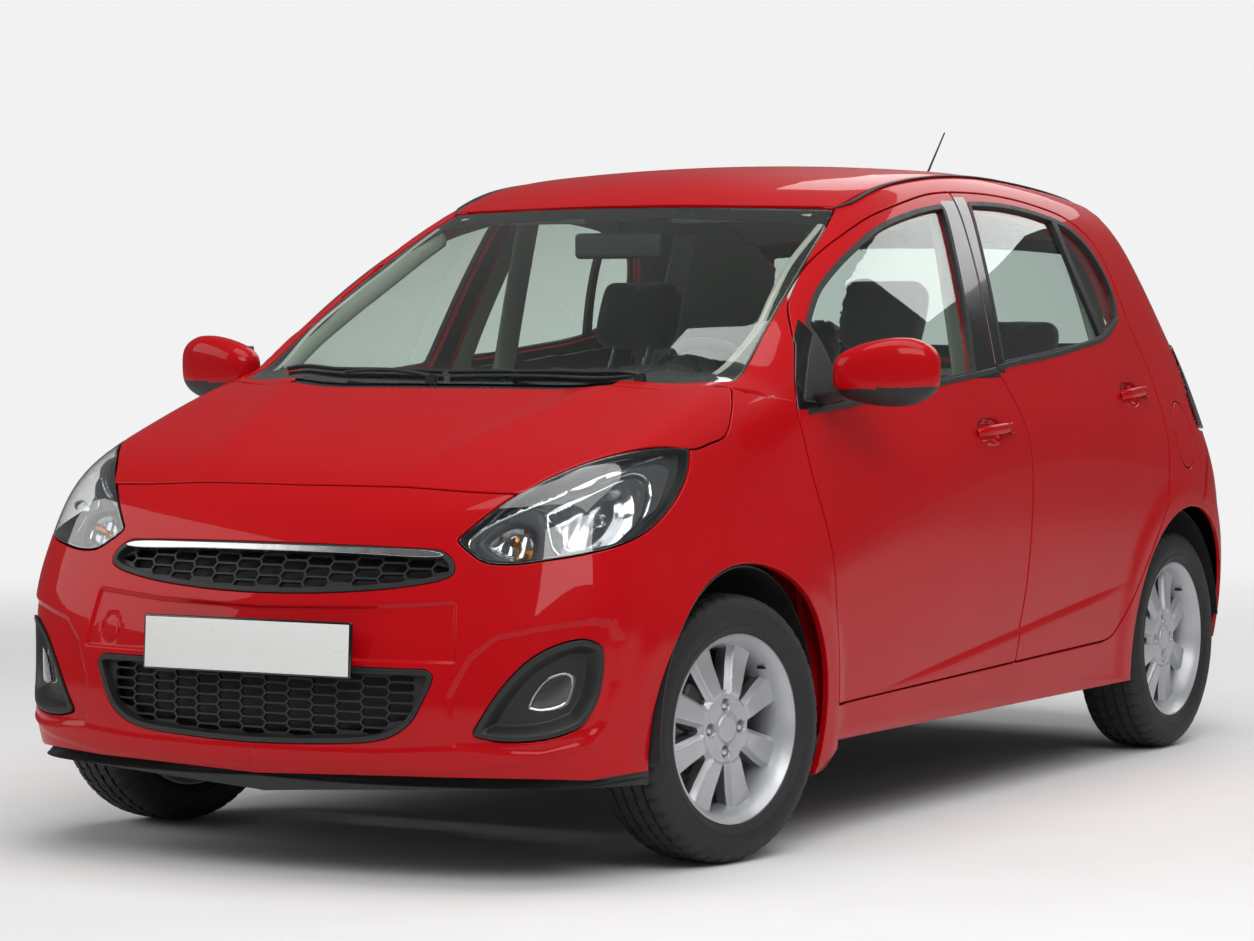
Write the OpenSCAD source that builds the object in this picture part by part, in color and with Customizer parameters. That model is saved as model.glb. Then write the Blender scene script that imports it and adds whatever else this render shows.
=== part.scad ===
// Five-door hatchback car, built as separate panels, glass, lamps, cabin and running gear.
// Millimetres, +Z up, front towards -Y, the car's left towards +X.
// The origin is under the middle of the car, on the ground.

/* [Body] */
// Shut gap between neighbouring outer panels
panel_gap = 5; // [4:0.5:6]
// Thickness of the outer skin and its flanges
skin = 4; // [3:0.5:5]
// Full thickness of a door below its window
door_thickness = 88; // [76:1:90]
// Thickness of every window pane
pane = 4; // [3:0.5:5]
// Width of each door mirror housing
mirror_width = 240; // [200:5:260]
// Length of the roof aerial rod
aerial_length = 320; // [150:5:325]

/* [Wheels] */
// Section width of the tyres
tyre_width = 175; // [165:1:185]
// Outer radius of the rim flange
rim_radius = 204; // [196:1:212]
// Number of spokes in each wheel
spoke_count = 8; // [6:1:10]
// Radius of the front brake discs
disc_radius = 120; // [105:1:128]

/* [Cabin] */
// Width of each front seat
seat_width = 490; // [450:5:510]
// Lean of the front seat backs
seat_lean = 23; // [18:1:26]
// Radius of the steering wheel
hand_wheel_radius = 185; // [170:1:190]

/* [Hidden] */

// Axles
front_axle_y = -1157;
rear_axle_y = 1267;
hub_z = 290;
track_half = 720;
steer_rest = -11.5;
king_pin_x = 655;
arch_radius = 352;

// Body surface: each list holds control heights or half widths at even stations
body_front_y = -1850;
body_rear_y = 1850;
half_width = [680, 805, 833, 834, 835, 836, 838, 842, 848, 841, 770];
belt_half_width = [640, 690, 730, 752, 775, 786, 788, 780, 758, 715, 640];
shoulder_z = [700, 745, 760, 790, 838, 880, 922, 950, 965, 972, 975];
nose_y = [-1758, -1822, -1861, -1862, -1845, -1809, -1768, -1738, -1676, -1548];
hood_z = [728, 831, 906, 969, 1028, 1068, 1094];
roof_z = [1448, 1498, 1534, 1542, 1527, 1506, 1475, 1422];
tail_y = [1756, 1812, 1846, 1864, 1856, 1824, 1787, 1745, 1712, 1668, 1594, 1525, 1457, 1390];
underside_z = 150;
nose_crown = 4200;
tail_crown = 4564;
hood_crown = 26000;
roof_crown = 11550;
nose_blend = 188;
tail_blend = 247;
hood_blend = 123;
roof_blend = 139;

// Outlines in side view, as [y, z]
front_door_line = [[-744, 302], [-779, 539], [-808, 762], [-801, 949], [-775, 1020], [-700, 1115],
    [-634, 1180], [-529, 1247], [-413, 1305], [-278, 1359], [-152, 1400], [33, 1438], [150, 1455],
    [262, 1462], [225, 1290], [190, 1150], [165, 1035], [238, 912], [265, 808], [263, 661],
    [242, 492], [206, 317]];
rear_door_line = [[206, 317], [242, 492], [263, 661], [265, 808], [238, 912], [165, 1035],
    [190, 1150], [225, 1290], [262, 1462], [480, 1458], [700, 1436], [880, 1400], [985, 1345],
    [1035, 1260], [1046, 1207], [1068, 1114], [1111, 1022], [1131, 930], [1133, 824],
    [1113, 668], [978, 518], [888, 420], [804, 344], [738, 326]];
front_window_line = [[-585, 972], [-630, 1145], [-529, 1216], [-413, 1275], [-278, 1330],
    [-152, 1372], [33, 1408], [178, 1424], [118, 1250], [80, 1130], [43, 1026]];
rear_window_line = [[215, 1045], [240, 1150], [325, 1432], [500, 1430], [700, 1410], [860, 1376],
    [950, 1320], [1008, 1222], [985, 1150], [860, 1104], [500, 1066]];
fender_line = [[-1560, 240], [-1290, 615], [-1345, 668], [-1450, 740], [-1560, 1000], [-980, 1040],
    [-960, 1016], [-801, 952], [-808, 762], [-779, 539], [-744, 302], [-752, 225]];
tail_lamp_line = [[1374, 1062], [1408, 1072], [1560, 1050], [1760, 1010], [1760, 838],
    [1512, 838]];
rear_bumper_line = [[1340, 634], [1512, 836], [1900, 836], [1900, 265], [1560, 265]];
flap_place = [1270, 834];

// Outlines seen from above, as [x, y], right-hand half
bonnet_half = [[0, -1650], [290, -1641], [430, -1632], [527, -1618], [560, -1562], [602, -1500],
    [650, -1420], [690, -1327], [716, -1241], [724, -1164], [726, -1095], [708, -1040],
    [672, -977], [614, -1014], [497, -1070], [308, -1094], [0, -1105]];
screen_half = [[0, -1068], [300, -1058], [480, -1034], [600, -985], [655, -940], [623, -724],
    [589, -488], [545, -250], [528, -190], [300, -232], [0, -252]];
roof_half = [[0, -245], [300, -225], [530, -180], [546, 0], [556, 400], [550, 900], [535, 1330],
    [300, 1340], [0, 1344]];

// Outlines seen along the car, as [x, z], right-hand half
upper_grille_half = [[0, 700], [190, 699], [394, 694], [428, 672], [437, 647], [410, 635],
    [325, 619], [168, 605], [0, 600]];
lower_grille_half = [[0, 456], [415, 453], [424, 440], [402, 383], [378, 345], [340, 318],
    [290, 304], [124, 293], [0, 290]];
tailgate_half = [[0, 1500], [540, 1500], [572, 1400], [600, 1300], [640, 1190], [668, 1100],
    [662, 1055], [628, 960], [612, 860], [575, 790], [530, 660], [480, 605], [0, 590]];
rear_window_half = [[0, 1372], [490, 1345], [556, 1200], [596, 1088], [560, 1050], [300, 1036],
    [0, 1030]];

// Lamp and fog bezel outlines, seen along a line turned outwards by lamp_angle
lamp_angle = 40;
lamp_line = [[-776, 715], [-731, 752], [-674, 792], [-598, 831], [-510, 865], [-419, 887],
    [-325, 897], [-250, 892], [-262, 840], [-300, 785], [-368, 732], [-435, 707], [-514, 691],
    [-598, 678], [-676, 668], [-725, 672], [-752, 690]];
fog_line = [[-765, 322], [-708, 417], [-648, 478], [-587, 508], [-530, 516], [-492, 500],
    [-491, 449], [-506, 388], [-539, 339], [-609, 317], [-708, 311]];

// Cubic blend of evenly spaced control values c between a and b
function curve(c, a, b, t) = let (
    n = len(c) - 1,
    u = min(max((t - a) / (b - a) * n, 0), n),
    k = min(floor(u), n - 1),
    f = u - k,
    g = 1 - f,
    p0 = k > 0 ? c[k - 1] : 2 * c[0] - c[1],
    p3 = k + 2 <= n ? c[k + 2] : 2 * c[n] - c[n - 1]
) (g*g*g * p0 + (3*f*f*f - 6*f*f + 4) * c[k] + (3*g*g*g - 6*g*g + 4) * c[k + 1] + f*f*f * p3) / 6;

// Larger and smaller of two values, blended over the width r
function blend_max(a, b, r) = let (h = max(r - abs(a - b), 0) / r) max(a, b) + h*h*h * r / 6;
function blend_min(a, b, r) = -blend_max(-a, -b, r);

function ease(t) = let (c = min(max(t, 0), 1)) c*c * (3 - 2*c);
function belt_z(y) = 1028 + 0.092 * (y - 100);
function flare(y, z, axle) = 7 * ease((455 - norm([y - axle, z - hub_z])) / 60);
function half_at(y, z) =
    curve(half_width, body_front_y, body_rear_y, y) - 0.00011 * pow(max(750 - z, 0), 2)
    + flare(y, z, front_axle_y) + flare(y, z, rear_axle_y);

// Half width of the body at a station and height
function side_x(y, z) = let (
    up = max(z - belt_z(y), 0),
    shoulder = curve(half_width, body_front_y, body_rear_y, y)
        - (z - curve(shoulder_z, body_front_y, body_rear_y, y)) * 0.26,
    cabin = curve(belt_half_width, body_front_y, body_rear_y, y)
        - (z - belt_z(y)) * 0.30 - 0.0002 * up*up
) blend_min(blend_min(half_at(y, z), shoulder, 14), cabin, 40);

// Height of the bonnet, windscreen and roof sheets
function hood_sheet(x, y) = curve(hood_z, body_front_y, -650, y) - x*x / hood_crown
    - 1.5e-7 * pow(max(x - 400, 0), 3);
function screen_sheet(x, y) = let (t = (y + 1040 - x*x * 0.00018) / 825)
    1005 + 440 * t + 26 * sin(180 * min(max(t, -0.2), 1.2)) - x*x / 20000;
function roof_sheet(x, y) = curve(roof_z, -300, 1450, y) - x*x / roof_crown;
function top_z(x, y) =
    blend_max(hood_sheet(x, y), blend_min(screen_sheet(x, y), roof_sheet(x, y), 60), 30);
function nose(x, z) = curve(nose_y, 100, 1000, z) + x*x / nose_crown
    + 1.2e-7 * pow(max(x - 300, 0), 3);
function tail(x, z) = curve(tail_y, 100, 1400, z) - x*x / tail_crown
    - 1.2e-7 * pow(max(x - 300, 0), 3);

// Signed depth of a point: negative inside the body, positive outside
function depth(p) = let (
    x = abs(p[0]),
    y = p[1],
    z = p[2],
    a = blend_max(x - side_x(y, z), z - top_z(x, y), y < -700 ? hood_blend : roof_blend),
    b = blend_max(a, nose(x, z) - y, nose_blend),
    c = blend_max(b, y - tail(x, z), tail_blend)
) blend_max(c, underside_z - z, 20);

// Outward normal of the body surface near a point
function normal(p) = let (
    f = depth(p),
    g = [depth(p + [1, 0, 0]) - f, depth(p + [0, 1, 0]) - f, depth(p + [0, 0, 1]) - f]
) g / norm(g);

// Point where the ray from o along d meets the body surface, from the first guess t
function meet(o, d, t, n = 4) = n == 0 ? o + t * d : let (
    f = depth(o + t * d),
    g = (depth(o + (t + 2) * d) - f) / 2
) meet(o, d, t - f / max(g, 0.35), n - 1);

// Charts of the body surface: side, top, ring round the car, nose fan, tail fan, hatch fan
// and a ball of rays for the front corner
function on_body(chart, u, v) =
    chart == "side" ? meet([0, u, v], [1, 0, 0], side_x(u, v)) :
    chart == "top" ? meet([u, v, 0], [0, 0, 1], top_z(abs(u), v) - 20) :
    chart == "ring" ? meet([300, u, 750], [cos(v), 0, sin(v)], 520) :
    chart == "nose" ? meet([0, -1000, v], [sin(u), -cos(u), 0], 800) :
    chart == "tail" ? meet([0, 1000, v], [-sin(u), cos(u), 0], 800) :
    chart == "hatch" ? meet([-u, 700, 700], [0, cos(v), sin(v)], 980) :
    meet([350, -1250, 600], [sin(u) * cos(v), -cos(u) * cos(v), sin(v)], 460);

function steps(a, b, n) = [for (i = [0:n]) a + (b - a) * i / n];
function mirrored(p) =
    concat(p, [for (i = [len(p) - 1:-1:0]) if (p[i][0] > 0) [-p[i][0], p[i][1]]]);

// Closed slab of the body between two depths, over a grid of one chart; thinning is how much
// less deep it is above the shoulder than below it
module slab(chart, us, vs, d0, d1, thinning = 0) {
    nv = len(vs);
    nu = len(us);
    n = nu * nv;
    face = [for (u = us) for (v = vs) on_body(chart, u, v)];
    out = [for (p = face) normal(p)];
    points = concat([for (i = [0:n - 1]) face[i] - out[i] * d0],
        [for (i = [0:n - 1]) face[i] - out[i] * (d1 - thinning * ease((face[i][2] - 800) / 150))]);
    sheet = [for (i = [0:nu - 2]) for (j = [0:nv - 2]) let (a = i * nv + j, b = a + nv)
        each [[a, a + 1, b + 1], [a, b + 1, b]]];
    back = [for (t = sheet) [t[0] + n, t[2] + n, t[1] + n]];
    loop = concat([for (i = [0:nu - 1]) i * nv], [for (j = [1:nv - 1]) (nu - 1) * nv + j],
        [for (i = [nu - 2:-1:0]) i * nv + nv - 1], [for (j = [nv - 2:-1:1]) j]);
    m = len(loop);
    rim = [for (k = [0:m - 1]) let (a = loop[k], b = loop[(k + 1) % m])
        each [[a, b, b + n], [a, b + n, a + n]]];
    polyhedron(points, concat(sheet, back, rim));
}

// One merged solid
module merged() {
    resize([0, 0, 0]) union() children();
}

// Both sides of the car
module both_sides() {
    children();
    mirror([1, 0, 0]) children();
}

// Prisms of a flat outline: across the car, straight up, along the car and along the lamp axis
module across(x0 = 300, x1 = 1000) {
    translate([x0, 0, 0]) rotate([90, 0, 90]) linear_extrude(x1 - x0) children();
}
module upright(z0 = 600, z1 = 1700) {
    translate([0, 0, z0]) linear_extrude(z1 - z0) children();
}
module lengthwise(y0, y1) {
    translate([0, y1, 0]) rotate([90, 0, 0]) linear_extrude(y1 - y0) children();
}
module lampwise(y0 = -1750, y1 = -1150) {
    rotate([0, 0, lamp_angle]) lengthwise(y0, y1) children();
}
module arch(axle, extra = 0) {
    translate([0, axle, hub_z]) rotate([0, 90, 0]) cylinder(r = arch_radius + extra, h = 1000, $fn = 60);
}
module grown(outline, extra = 0) {
    offset(delta = extra) polygon(outline);
}

half_gap = panel_gap / 2;
red = "#c8141e";

// ---- Doors ----

module door(outline, window, ys, angles) {
    flange = 24;
    frame_depth = 24;
    color(red) merged() difference() {
        union() {
            intersection() {
                slab("ring", ys, angles, 0, skin);
                across() grown(outline, -half_gap);
            }
            intersection() {
                slab("ring", ys, angles, skin - 1, door_thickness, 42);
                across() intersection() {
                    grown(outline, -half_gap - flange);
                    polygon([[-900, 300], [1300, 300], [1300, belt_z(1300) + 12],
                        [-900, belt_z(-900) + 12]]);
                }
            }
            intersection() {
                slab("ring", ys, angles, skin - 1, frame_depth);
                across() intersection() {
                    grown(outline, -half_gap - 8);
                    polygon([[-760, 960], [1300, 1100], [1300, 1600], [-760, 1600]]);
                }
            }
        }
        across() polygon(window);
        translate([0, 0, -skin]) upright(950) grown(mirrored(screen_half), 6);
    }
}
// Pull handle centred at a station and height of the door
module door_handle(y, z) {
    color(red) translate([side_x(y, z) - 2, y, z]) rotate([90, 0, 0])
        cylinder(r = 12, h = 150, center = true);
}
module front_door() {
    door(front_door_line, front_window_line, steps(-815, 275, 14), steps(-45, 69, 15));
    door_handle(60, 885);
}
module rear_door() {
    door(rear_door_line, rear_window_line, steps(160, 1140, 13), steps(-44, 69, 15));
    door_handle(940, 950);
}
module side_pane(window, ys, angles) {
    color("#9fb4b0", 0.4) merged() intersection() {
        slab("ring", ys, angles, 8, 8 + pane);
        across() grown(window, -0.5);
    }
}
module front_glass() {
    side_pane(front_window_line, steps(-640, 190, 8), steps(24, 68, 6));
}
module rear_glass() {
    side_pane(rear_window_line, steps(205, 1020, 8), steps(30, 68, 6));
}
module front_door_left() { front_door(); }
module front_door_right() { mirror([1, 0, 0]) front_door(); }
module rear_door_left() { rear_door(); }
module rear_door_right() { mirror([1, 0, 0]) rear_door(); }
module front_glass_left() { front_glass(); }
module front_glass_right() { mirror([1, 0, 0]) front_glass(); }
module rear_glass_left() { rear_glass(); }
module rear_glass_right() { mirror([1, 0, 0]) rear_glass(); }

module door_mirror() {
    color(red) {
        hull() {
            translate([805, -715, 1045]) scale([0.5, 0.8, 1]) sphere(r = 60, $fn = 32);
            translate([805 + mirror_width - 60, -668, 1052]) scale([0.7, 0.8, 1]) sphere(r = 58, $fn = 32);
        }
        hull() {
            translate([758, -690, 990]) cube([10, 70, 30], center = true);
            translate([830, -700, 1000]) cube([20, 50, 24], center = true);
        }
    }
}
module mirror_left() { door_mirror(); }
module mirror_right() { mirror([1, 0, 0]) door_mirror(); }

// ---- Fixed outer body ----

module door_openings(extra) {
    across() {
        grown(front_door_line, extra);
        grown(rear_door_line, extra);
    }
}
module side_skin() {
    difference() {
        intersection() {
            slab("ring", steps(-965, 1640, 24), steps(-44, 73, 12), 0, 28);
            union() {
                across(0) polygon([[-965, 1012], [-800, 955], [1374, 955], [1374, 1600], [-965, 1600]]);
                across(0) polygon([[-740, 226], [930, 245], [1600, 600], [1515, 838], [1374, 1062],
                    [1500, 1080], [1600, 1120], [1500, 1400], [300, 1600], [-740, 296]]);
            }
        }
        door_openings(half_gap);
        arch(rear_axle_y);
        upright(900) grown(mirrored(roof_half), half_gap);
        upright(900) grown(mirrored(screen_half), 3);
        upright(700) grown(mirrored(bonnet_half), half_gap);
        lengthwise(1335, 2000) grown(mirrored(tailgate_half), panel_gap);
        across(300) grown(rear_bumper_line, half_gap);
        across(300) grown(tail_lamp_line, half_gap);
    }
}
module pillar_band() {
    intersection() {
        slab("ring", steps(-900, 1180, 20), steps(8, 70, 7), 40, 62);
        across() difference() {
            union() {
                grown(front_door_line, 14);
                grown(rear_door_line, 14);
            }
            offset(delta = -34) union() {
                grown(front_door_line, 0.5);
                grown(rear_door_line, 0.5);
            }
            polygon([[-2000, 0], [2000, 0], [2000, 1240], [-2000, 960]]);
        }
    }
}
module b_pillar() {
    hull() {
        translate([640, 150, 250]) cube([44, 150, 740]);
        translate([640, 150, 950]) cube([34, 130, 60]);
    }
    hull() {
        translate([636, 150, 990]) cube([38, 130, 20]);
        translate([545, 205, 1420]) cube([40, 90, 20]);
    }
}
module frame_half() {
    merged() {
        side_skin();
        pillar_band();
        b_pillar();
        translate([640, -806, 228]) cube([50, 66, 720]);
        translate([640, -800, 228]) cube([140, 1640, 62]);
        translate([640, -800, 228]) cube([44, 1640, 112]);
        intersection() {
            slab("side", steps(-815, -680, 2), steps(935, 1100, 3), 96, 104);
            across() polygon([[-860, 930], [-740, 930], [-700, 1010], [-640, 1100], [-760, 1050]]);
        }
    }
}
module side_frames() {
    color(red) {
        difference() {
            frame_half();
            translate([700, flap_place[0], flap_place[1]]) rotate([0, 90, 0])
                cylinder(r = 62 + panel_gap + 2.5, h = 200, $fn = 48);
        }
        mirror([1, 0, 0]) frame_half();
    }
}
module roof_panel() {
    color(red) merged() intersection() {
        slab("top", steps(-570, 570, 10), steps(-262, 1352, 14), 0, skin);
        upright(1200) grown(mirrored(roof_half), -half_gap);
    }
}
module headliner() {
    color("#c9c7c2") merged() intersection() {
        slab("top", steps(-540, 540, 8), steps(-200, 1300, 10), 34, 42);
        upright(1100) offset(delta = -30) polygon(mirrored(roof_half));
    }
}
module windscreen() {
    color("#9fb4b0", 0.4) merged() intersection() {
        slab("top", steps(-665, 665, 14), steps(-1075, -182, 12), 4, 4 + pane);
        upright(900) polygon(mirrored(screen_half));
    }
}
module bonnet() {
    color(red) merged() intersection() {
        slab("top", steps(-740, 740, 16), steps(-1662, -965, 12), 0, 22);
        upright(700) grown(mirrored(bonnet_half), -half_gap);
    }
}
module front_fenders() {
    color(red) both_sides() merged() difference() {
        intersection() {
            slab("ring", steps(-1570, -738, 14), steps(-44, 45, 13), 0, skin);
            across() grown(fender_line, -half_gap);
        }
        arch(front_axle_y);
        upright(700) grown(mirrored(bonnet_half), half_gap + 1.5);
        lampwise() grown(lamp_line, half_gap);
        across() grown(front_door_line, half_gap);
    }
}
module front_bumper() {
    color(red) merged() difference() {
        intersection() {
            slab("nose", steps(-70, 70, 22), steps(212, 838, 9), 0, 8);
            lengthwise(-2000, -1280) polygon([[-900, 260], [-640, 216], [0, 206], [640, 216], [900, 260],
                [900, 860], [-900, 860]]);
        }
        both_sides() {
            arch(front_axle_y);
            across() grown(fender_line, half_gap);
            lampwise() grown(lamp_line, half_gap);
            lampwise() grown(fog_line, 1);
        }
        upright(600) grown(mirrored(bonnet_half), half_gap);
        lengthwise(-2000, -1500) grown(mirrored(upper_grille_half), 1);
        lengthwise(-2000, -1500) grown(mirrored(lower_grille_half), 1);
    }
}
module rear_bumper() {
    color(red) merged() difference() {
        intersection() {
            slab("tail", steps(-70, 70, 24), steps(272, 860, 9), 0, 8);
            both_sides() across(0) grown(rear_bumper_line, -half_gap);
        }
        both_sides() arch(rear_axle_y);
        lengthwise(1335, 2000) grown(mirrored(tailgate_half), half_gap);
    }
}
module cowl_panel() {
    color("#1b1c1e") merged() {
        intersection() {
            slab("top", steps(-650, 650, 12), steps(-1112, -945, 3), 45, 53);
            upright(600) polygon(mirrored([[0, -1104], [308, -1092], [497, -1068], [614, -1012],
                [645, -990], [640, -950], [0, -1000]]));
        }
        translate([-465, -905, 352]) cube([930, 8, 608]);
        translate([-640, -905, 650]) cube([1280, 8, 310]);
    }
}
module headlamps() {
    color("#dfe6ea", 0.6) both_sides() merged() difference() {
        intersection() {
            slab("ball", steps(-2, 104, 12), steps(2, 52, 6), 0, 90);
            lampwise() grown(lamp_line, -half_gap + 1);
        }
        intersection() {
            slab("ball", steps(-4, 106, 12), steps(0, 54, 6), 4, 84);
            lampwise() grown(lamp_line, -8);
        }
        upright(600) grown(mirrored(bonnet_half), half_gap);
        translate([0, -22, 0]) upright(850) grown(mirrored(bonnet_half), half_gap);
    }
}
module tail_lamps() {
    color("#8e0d14") both_sides() merged() difference() {
        intersection() {
            slab("tail", steps(-68, -24, 10), steps(830, 1080, 6), -6, 60);
            across(0) grown(tail_lamp_line, -half_gap + 1);
        }
        lengthwise(1335, 2000) grown(mirrored(tailgate_half), half_gap);
    }
}
// Open tray of a grille, its floor set back behind a rim
module grille(outline_half, spread, low, high) {
    merged() difference() {
        intersection() {
            slab("nose", steps(-spread, spread, 9), steps(low, high, 2), 0, 34);
            lengthwise(-2000, -1500) grown(mirrored(outline_half));
        }
        intersection() {
            slab("nose", steps(-spread - 2, spread + 2, 9), steps(low - 6, high + 6, 2), -12, 24);
            lengthwise(-2000, -1500) grown(mirrored(outline_half), -12);
        }
    }
}
module grilles() {
    color("#141516") {
        grille(lower_grille_half, 33, 285, 460);
        grille(upper_grille_half, 36, 594, 706);
        merged() difference() {
            intersection() {
                slab("nose", steps(-62, 62, 16), steps(178, 258, 2), 6, 18);
                lengthwise(-2000, -1280) polygon([[-900, 254], [-640, 211], [0, 201], [640, 211],
                    [900, 254], [900, 215], [640, 182], [-640, 182], [-900, 215]]);
            }
            both_sides() arch(front_axle_y);
        }
    }
}
module fog_lamps() {
    color("#141516") both_sides() merged() {
        difference() {
            intersection() {
                slab("nose", steps(12, 40, 7), steps(305, 525, 6), 0, 46);
                lampwise() grown(fog_line, 0);
            }
            intersection() {
                slab("nose", steps(11, 41, 7), steps(300, 530, 6), -10, 36);
                lampwise() grown(fog_line, -26);
            }
        }
        rotate([0, 0, 22]) translate([-40, -1812, 392]) rotate([90, 0, 0])
            cylinder(r = 40, h = 40, center = true);
    }
}
module number_plates() {
    color("#e9e9e6") {
        translate([0, -1862, 491]) rotate([-3.6, 0, 0]) cube([526, 12, 116], center = true);
        translate([0, 1862, 480]) rotate([2, 0, 0]) cube([526, 12, 116], center = true);
    }
}
module fuel_flap() {
    color(red) merged() intersection() {
        slab("side", steps(1190, 1350, 4), steps(760, 910, 4), 0, skin);
        translate([700, flap_place[0], flap_place[1]]) rotate([0, 90, 0]) cylinder(r = 62, h = 200, $fn = 48);
    }
}
module tailgate() {
    color(red) merged() {
        difference() {
            intersection() {
                slab("hatch", steps(-690, 690, 12), steps(-9, 49.5, 13), 0, 40);
                lengthwise(1350, 2000) grown(mirrored(tailgate_half), -half_gap);
            }
            lengthwise(1300, 2000) grown(mirrored(rear_window_half), 0);
        }
        intersection() {
            slab("hatch", steps(-550, 550, 12), steps(40, 48.5, 3), -16, 2);
            lengthwise(1356, 2000) grown(mirrored(tailgate_half), -20);
        }
    }
}
module tailgate_glass() {
    color("#9fb4b0", 0.4) merged() intersection() {
        slab("hatch", steps(-610, 610, 12), steps(17, 44, 7), 3, 3 + pane);
        lengthwise(1300, 2000) grown(mirrored(rear_window_half), -0.5);
    }
}
module wheel_liners() {
    color("#1b1c1e") both_sides() for (axle = [front_axle_y, rear_axle_y]) {
        difference() {
            translate([470, axle, hub_z]) rotate([0, 90, 0]) cylinder(r = arch_radius - 4, h = 318);
            translate([476, axle, hub_z]) rotate([0, 90, 0]) cylinder(r = arch_radius - 8, h = 330);
            translate([0, axle - 450, -170]) cube([900, 900, axle > 0 ? 500 : 420]);
        }
    }
}
module floor_pan() {
    color("#2a2c2f") merged() {
        difference() {
            union() {
                translate([-639, -830, 178]) cube([1278, 1500, 22]);
                translate([-120, -830, 178]) cube([240, 1500, 130]);
            }
            translate([-105, -840, 150]) cube([210, 1520, 140]);
        }
        rotate([90, 0, 90]) translate([0, 0, -450]) linear_extrude(900)
            polygon([[-830, 178], [-905, 330], [-905, 350], [-890, 350], [-815, 200]]);
        translate([-639, 660, 178]) cube([1278, 16, 180]);
        translate([-639, 660, 342]) cube([1278, 260, 16]);
        translate([-462, 915, 342]) cube([924, 848, 16]);
        translate([-462, 1749, 342]) cube([924, 14, 250]);
    }
}
module aerial() {
    color("#141516") {
        base = on_body("top", 0, 1316);
        translate(base + [0, 0, 6]) cylinder(r1 = 22, r2 = 12, h = 16, center = true);
        translate(base) rotate([-44, 0, 0]) cylinder(r = 4, h = aerial_length);
    }
}
module wipers() {
    color("#141516") for (s = [[[545, -1000], [60, -1000]], [[-20, -1010], [-520, -965]]]) {
        a = on_body("top", s[0][0], s[0][1]) + [0, 0, 12];
        b = on_body("top", (s[0][0] + s[1][0]) / 2, (s[0][1] + s[1][1]) / 2 - 20) + [0, 0, 16];
        c = on_body("top", s[1][0], s[1][1]) + [0, 0, 12];
        hull() {
            translate(a) sphere(r = 8, $fn = 16);
            translate(b) sphere(r = 7, $fn = 16);
        }
        hull() {
            translate(b) sphere(r = 7, $fn = 16);
            translate(c) sphere(r = 6, $fn = 16);
        }
    }
}

// ---- Cabin ----

module interior_mirror() {
    color("#1b1c1e") {
        translate([0, -300, 1330]) cube([235, 22, 62], center = true);
        translate([0, -285, 1368]) cylinder(r = 9, h = 60, center = true);
    }
}
module dashboard() {
    color("#2b2d30") merged() {
        rotate([90, 0, 90]) translate([0, 0, -626]) linear_extrude(1252) offset(r = 22) offset(delta = -22)
            polygon([[-890, 930], [-890, 700], [-700, 560], [-600, 600], [-540, 760], [-545, 900],
                [-600, 995], [-760, 985]]);
        translate([-110, -720, 310]) cube([220, 800, 50]);
        translate([-100, -640, 340]) cube([200, 160, 330]);
        translate([350, -577, 884]) rotate([-66, 0, 0]) cylinder(r = 45, h = 190, center = true);
    }
}
module steering_wheel() {
    color("#1b1c1e") translate([350, -440, 945]) rotate([-66, 0, 0]) {
        rotate_extrude($fn = 64) translate([hand_wheel_radius - 15, 0]) circle(r = 15, $fn = 24);
        translate([0, 0, -42]) cylinder(r = 70, h = 50);
        for (a = [0, 180, 270]) rotate([0, 0, a]) translate([50, -22, -14])
            cube([hand_wheel_radius - 72, 44, 20]);
    }
}
module seat(width, cushion, back_foot, back_length, lean, thick) {
    rotate([90, 0, 90]) translate([0, 0, -width / 2]) linear_extrude(width) offset(r = 30) offset(delta = -30)
        polygon(cushion);
    translate([0, back_foot[0], back_foot[1]]) rotate([-lean, 0, 0])
        translate([-width / 2 + 10, -thick / 2, 0]) cube([width - 20, thick, back_length]);
}
module front_seats() {
    color("#3a3c40") for (x = [-355, 355]) translate([x, 0, 0]) merged() {
        seat(seat_width, [[-440, 310], [-460, 430], [-400, 470], [60, 440], [150, 340], [120, 310]],
            [110, 420], 640, seat_lean, 110);
        translate([0, 110, 420]) rotate([-seat_lean, 0, 0]) {
            translate([-115, -40, 700]) cube([230, 90, 185]);
            translate([-60, -6, 620]) cube([12, 12, 100]);
            translate([48, -6, 620]) cube([12, 12, 100]);
        }
        translate([-200, -380, 205]) cube([400, 480, 110]);
    }
}
module rear_bench() {
    color("#3a3c40") merged() difference() {
        bench_blocks();
        for (x = [-785, 465]) translate([x, rear_axle_y, hub_z]) rotate([0, 90, 0])
            cylinder(r = arch_radius - 2, h = 320);
    }
}
module bench_blocks() {
    union() {
        rotate([90, 0, 90]) translate([0, 0, -610]) linear_extrude(1220) offset(r = 30) offset(delta = -30)
            polygon([[640, 362], [630, 480], [680, 510], [1060, 470], [1060, 362]]);
        translate([0, 1070, 420]) rotate([-20, 0, 0]) {
            translate([-560, -60, 0]) cube([1120, 110, 580]);
            for (x = [-330, 330]) translate([x, 0, 0]) {
                translate([-110, -30, 610]) cube([220, 75, 150]);
                translate([-50, -6, 560]) cube([12, 12, 60]);
                translate([38, -6, 560]) cube([12, 12, 60]);
            }
        }
        translate([-462, 1000, 358]) cube([924, 60, 80]);
    }
}

// ---- Running gear ----

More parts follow.
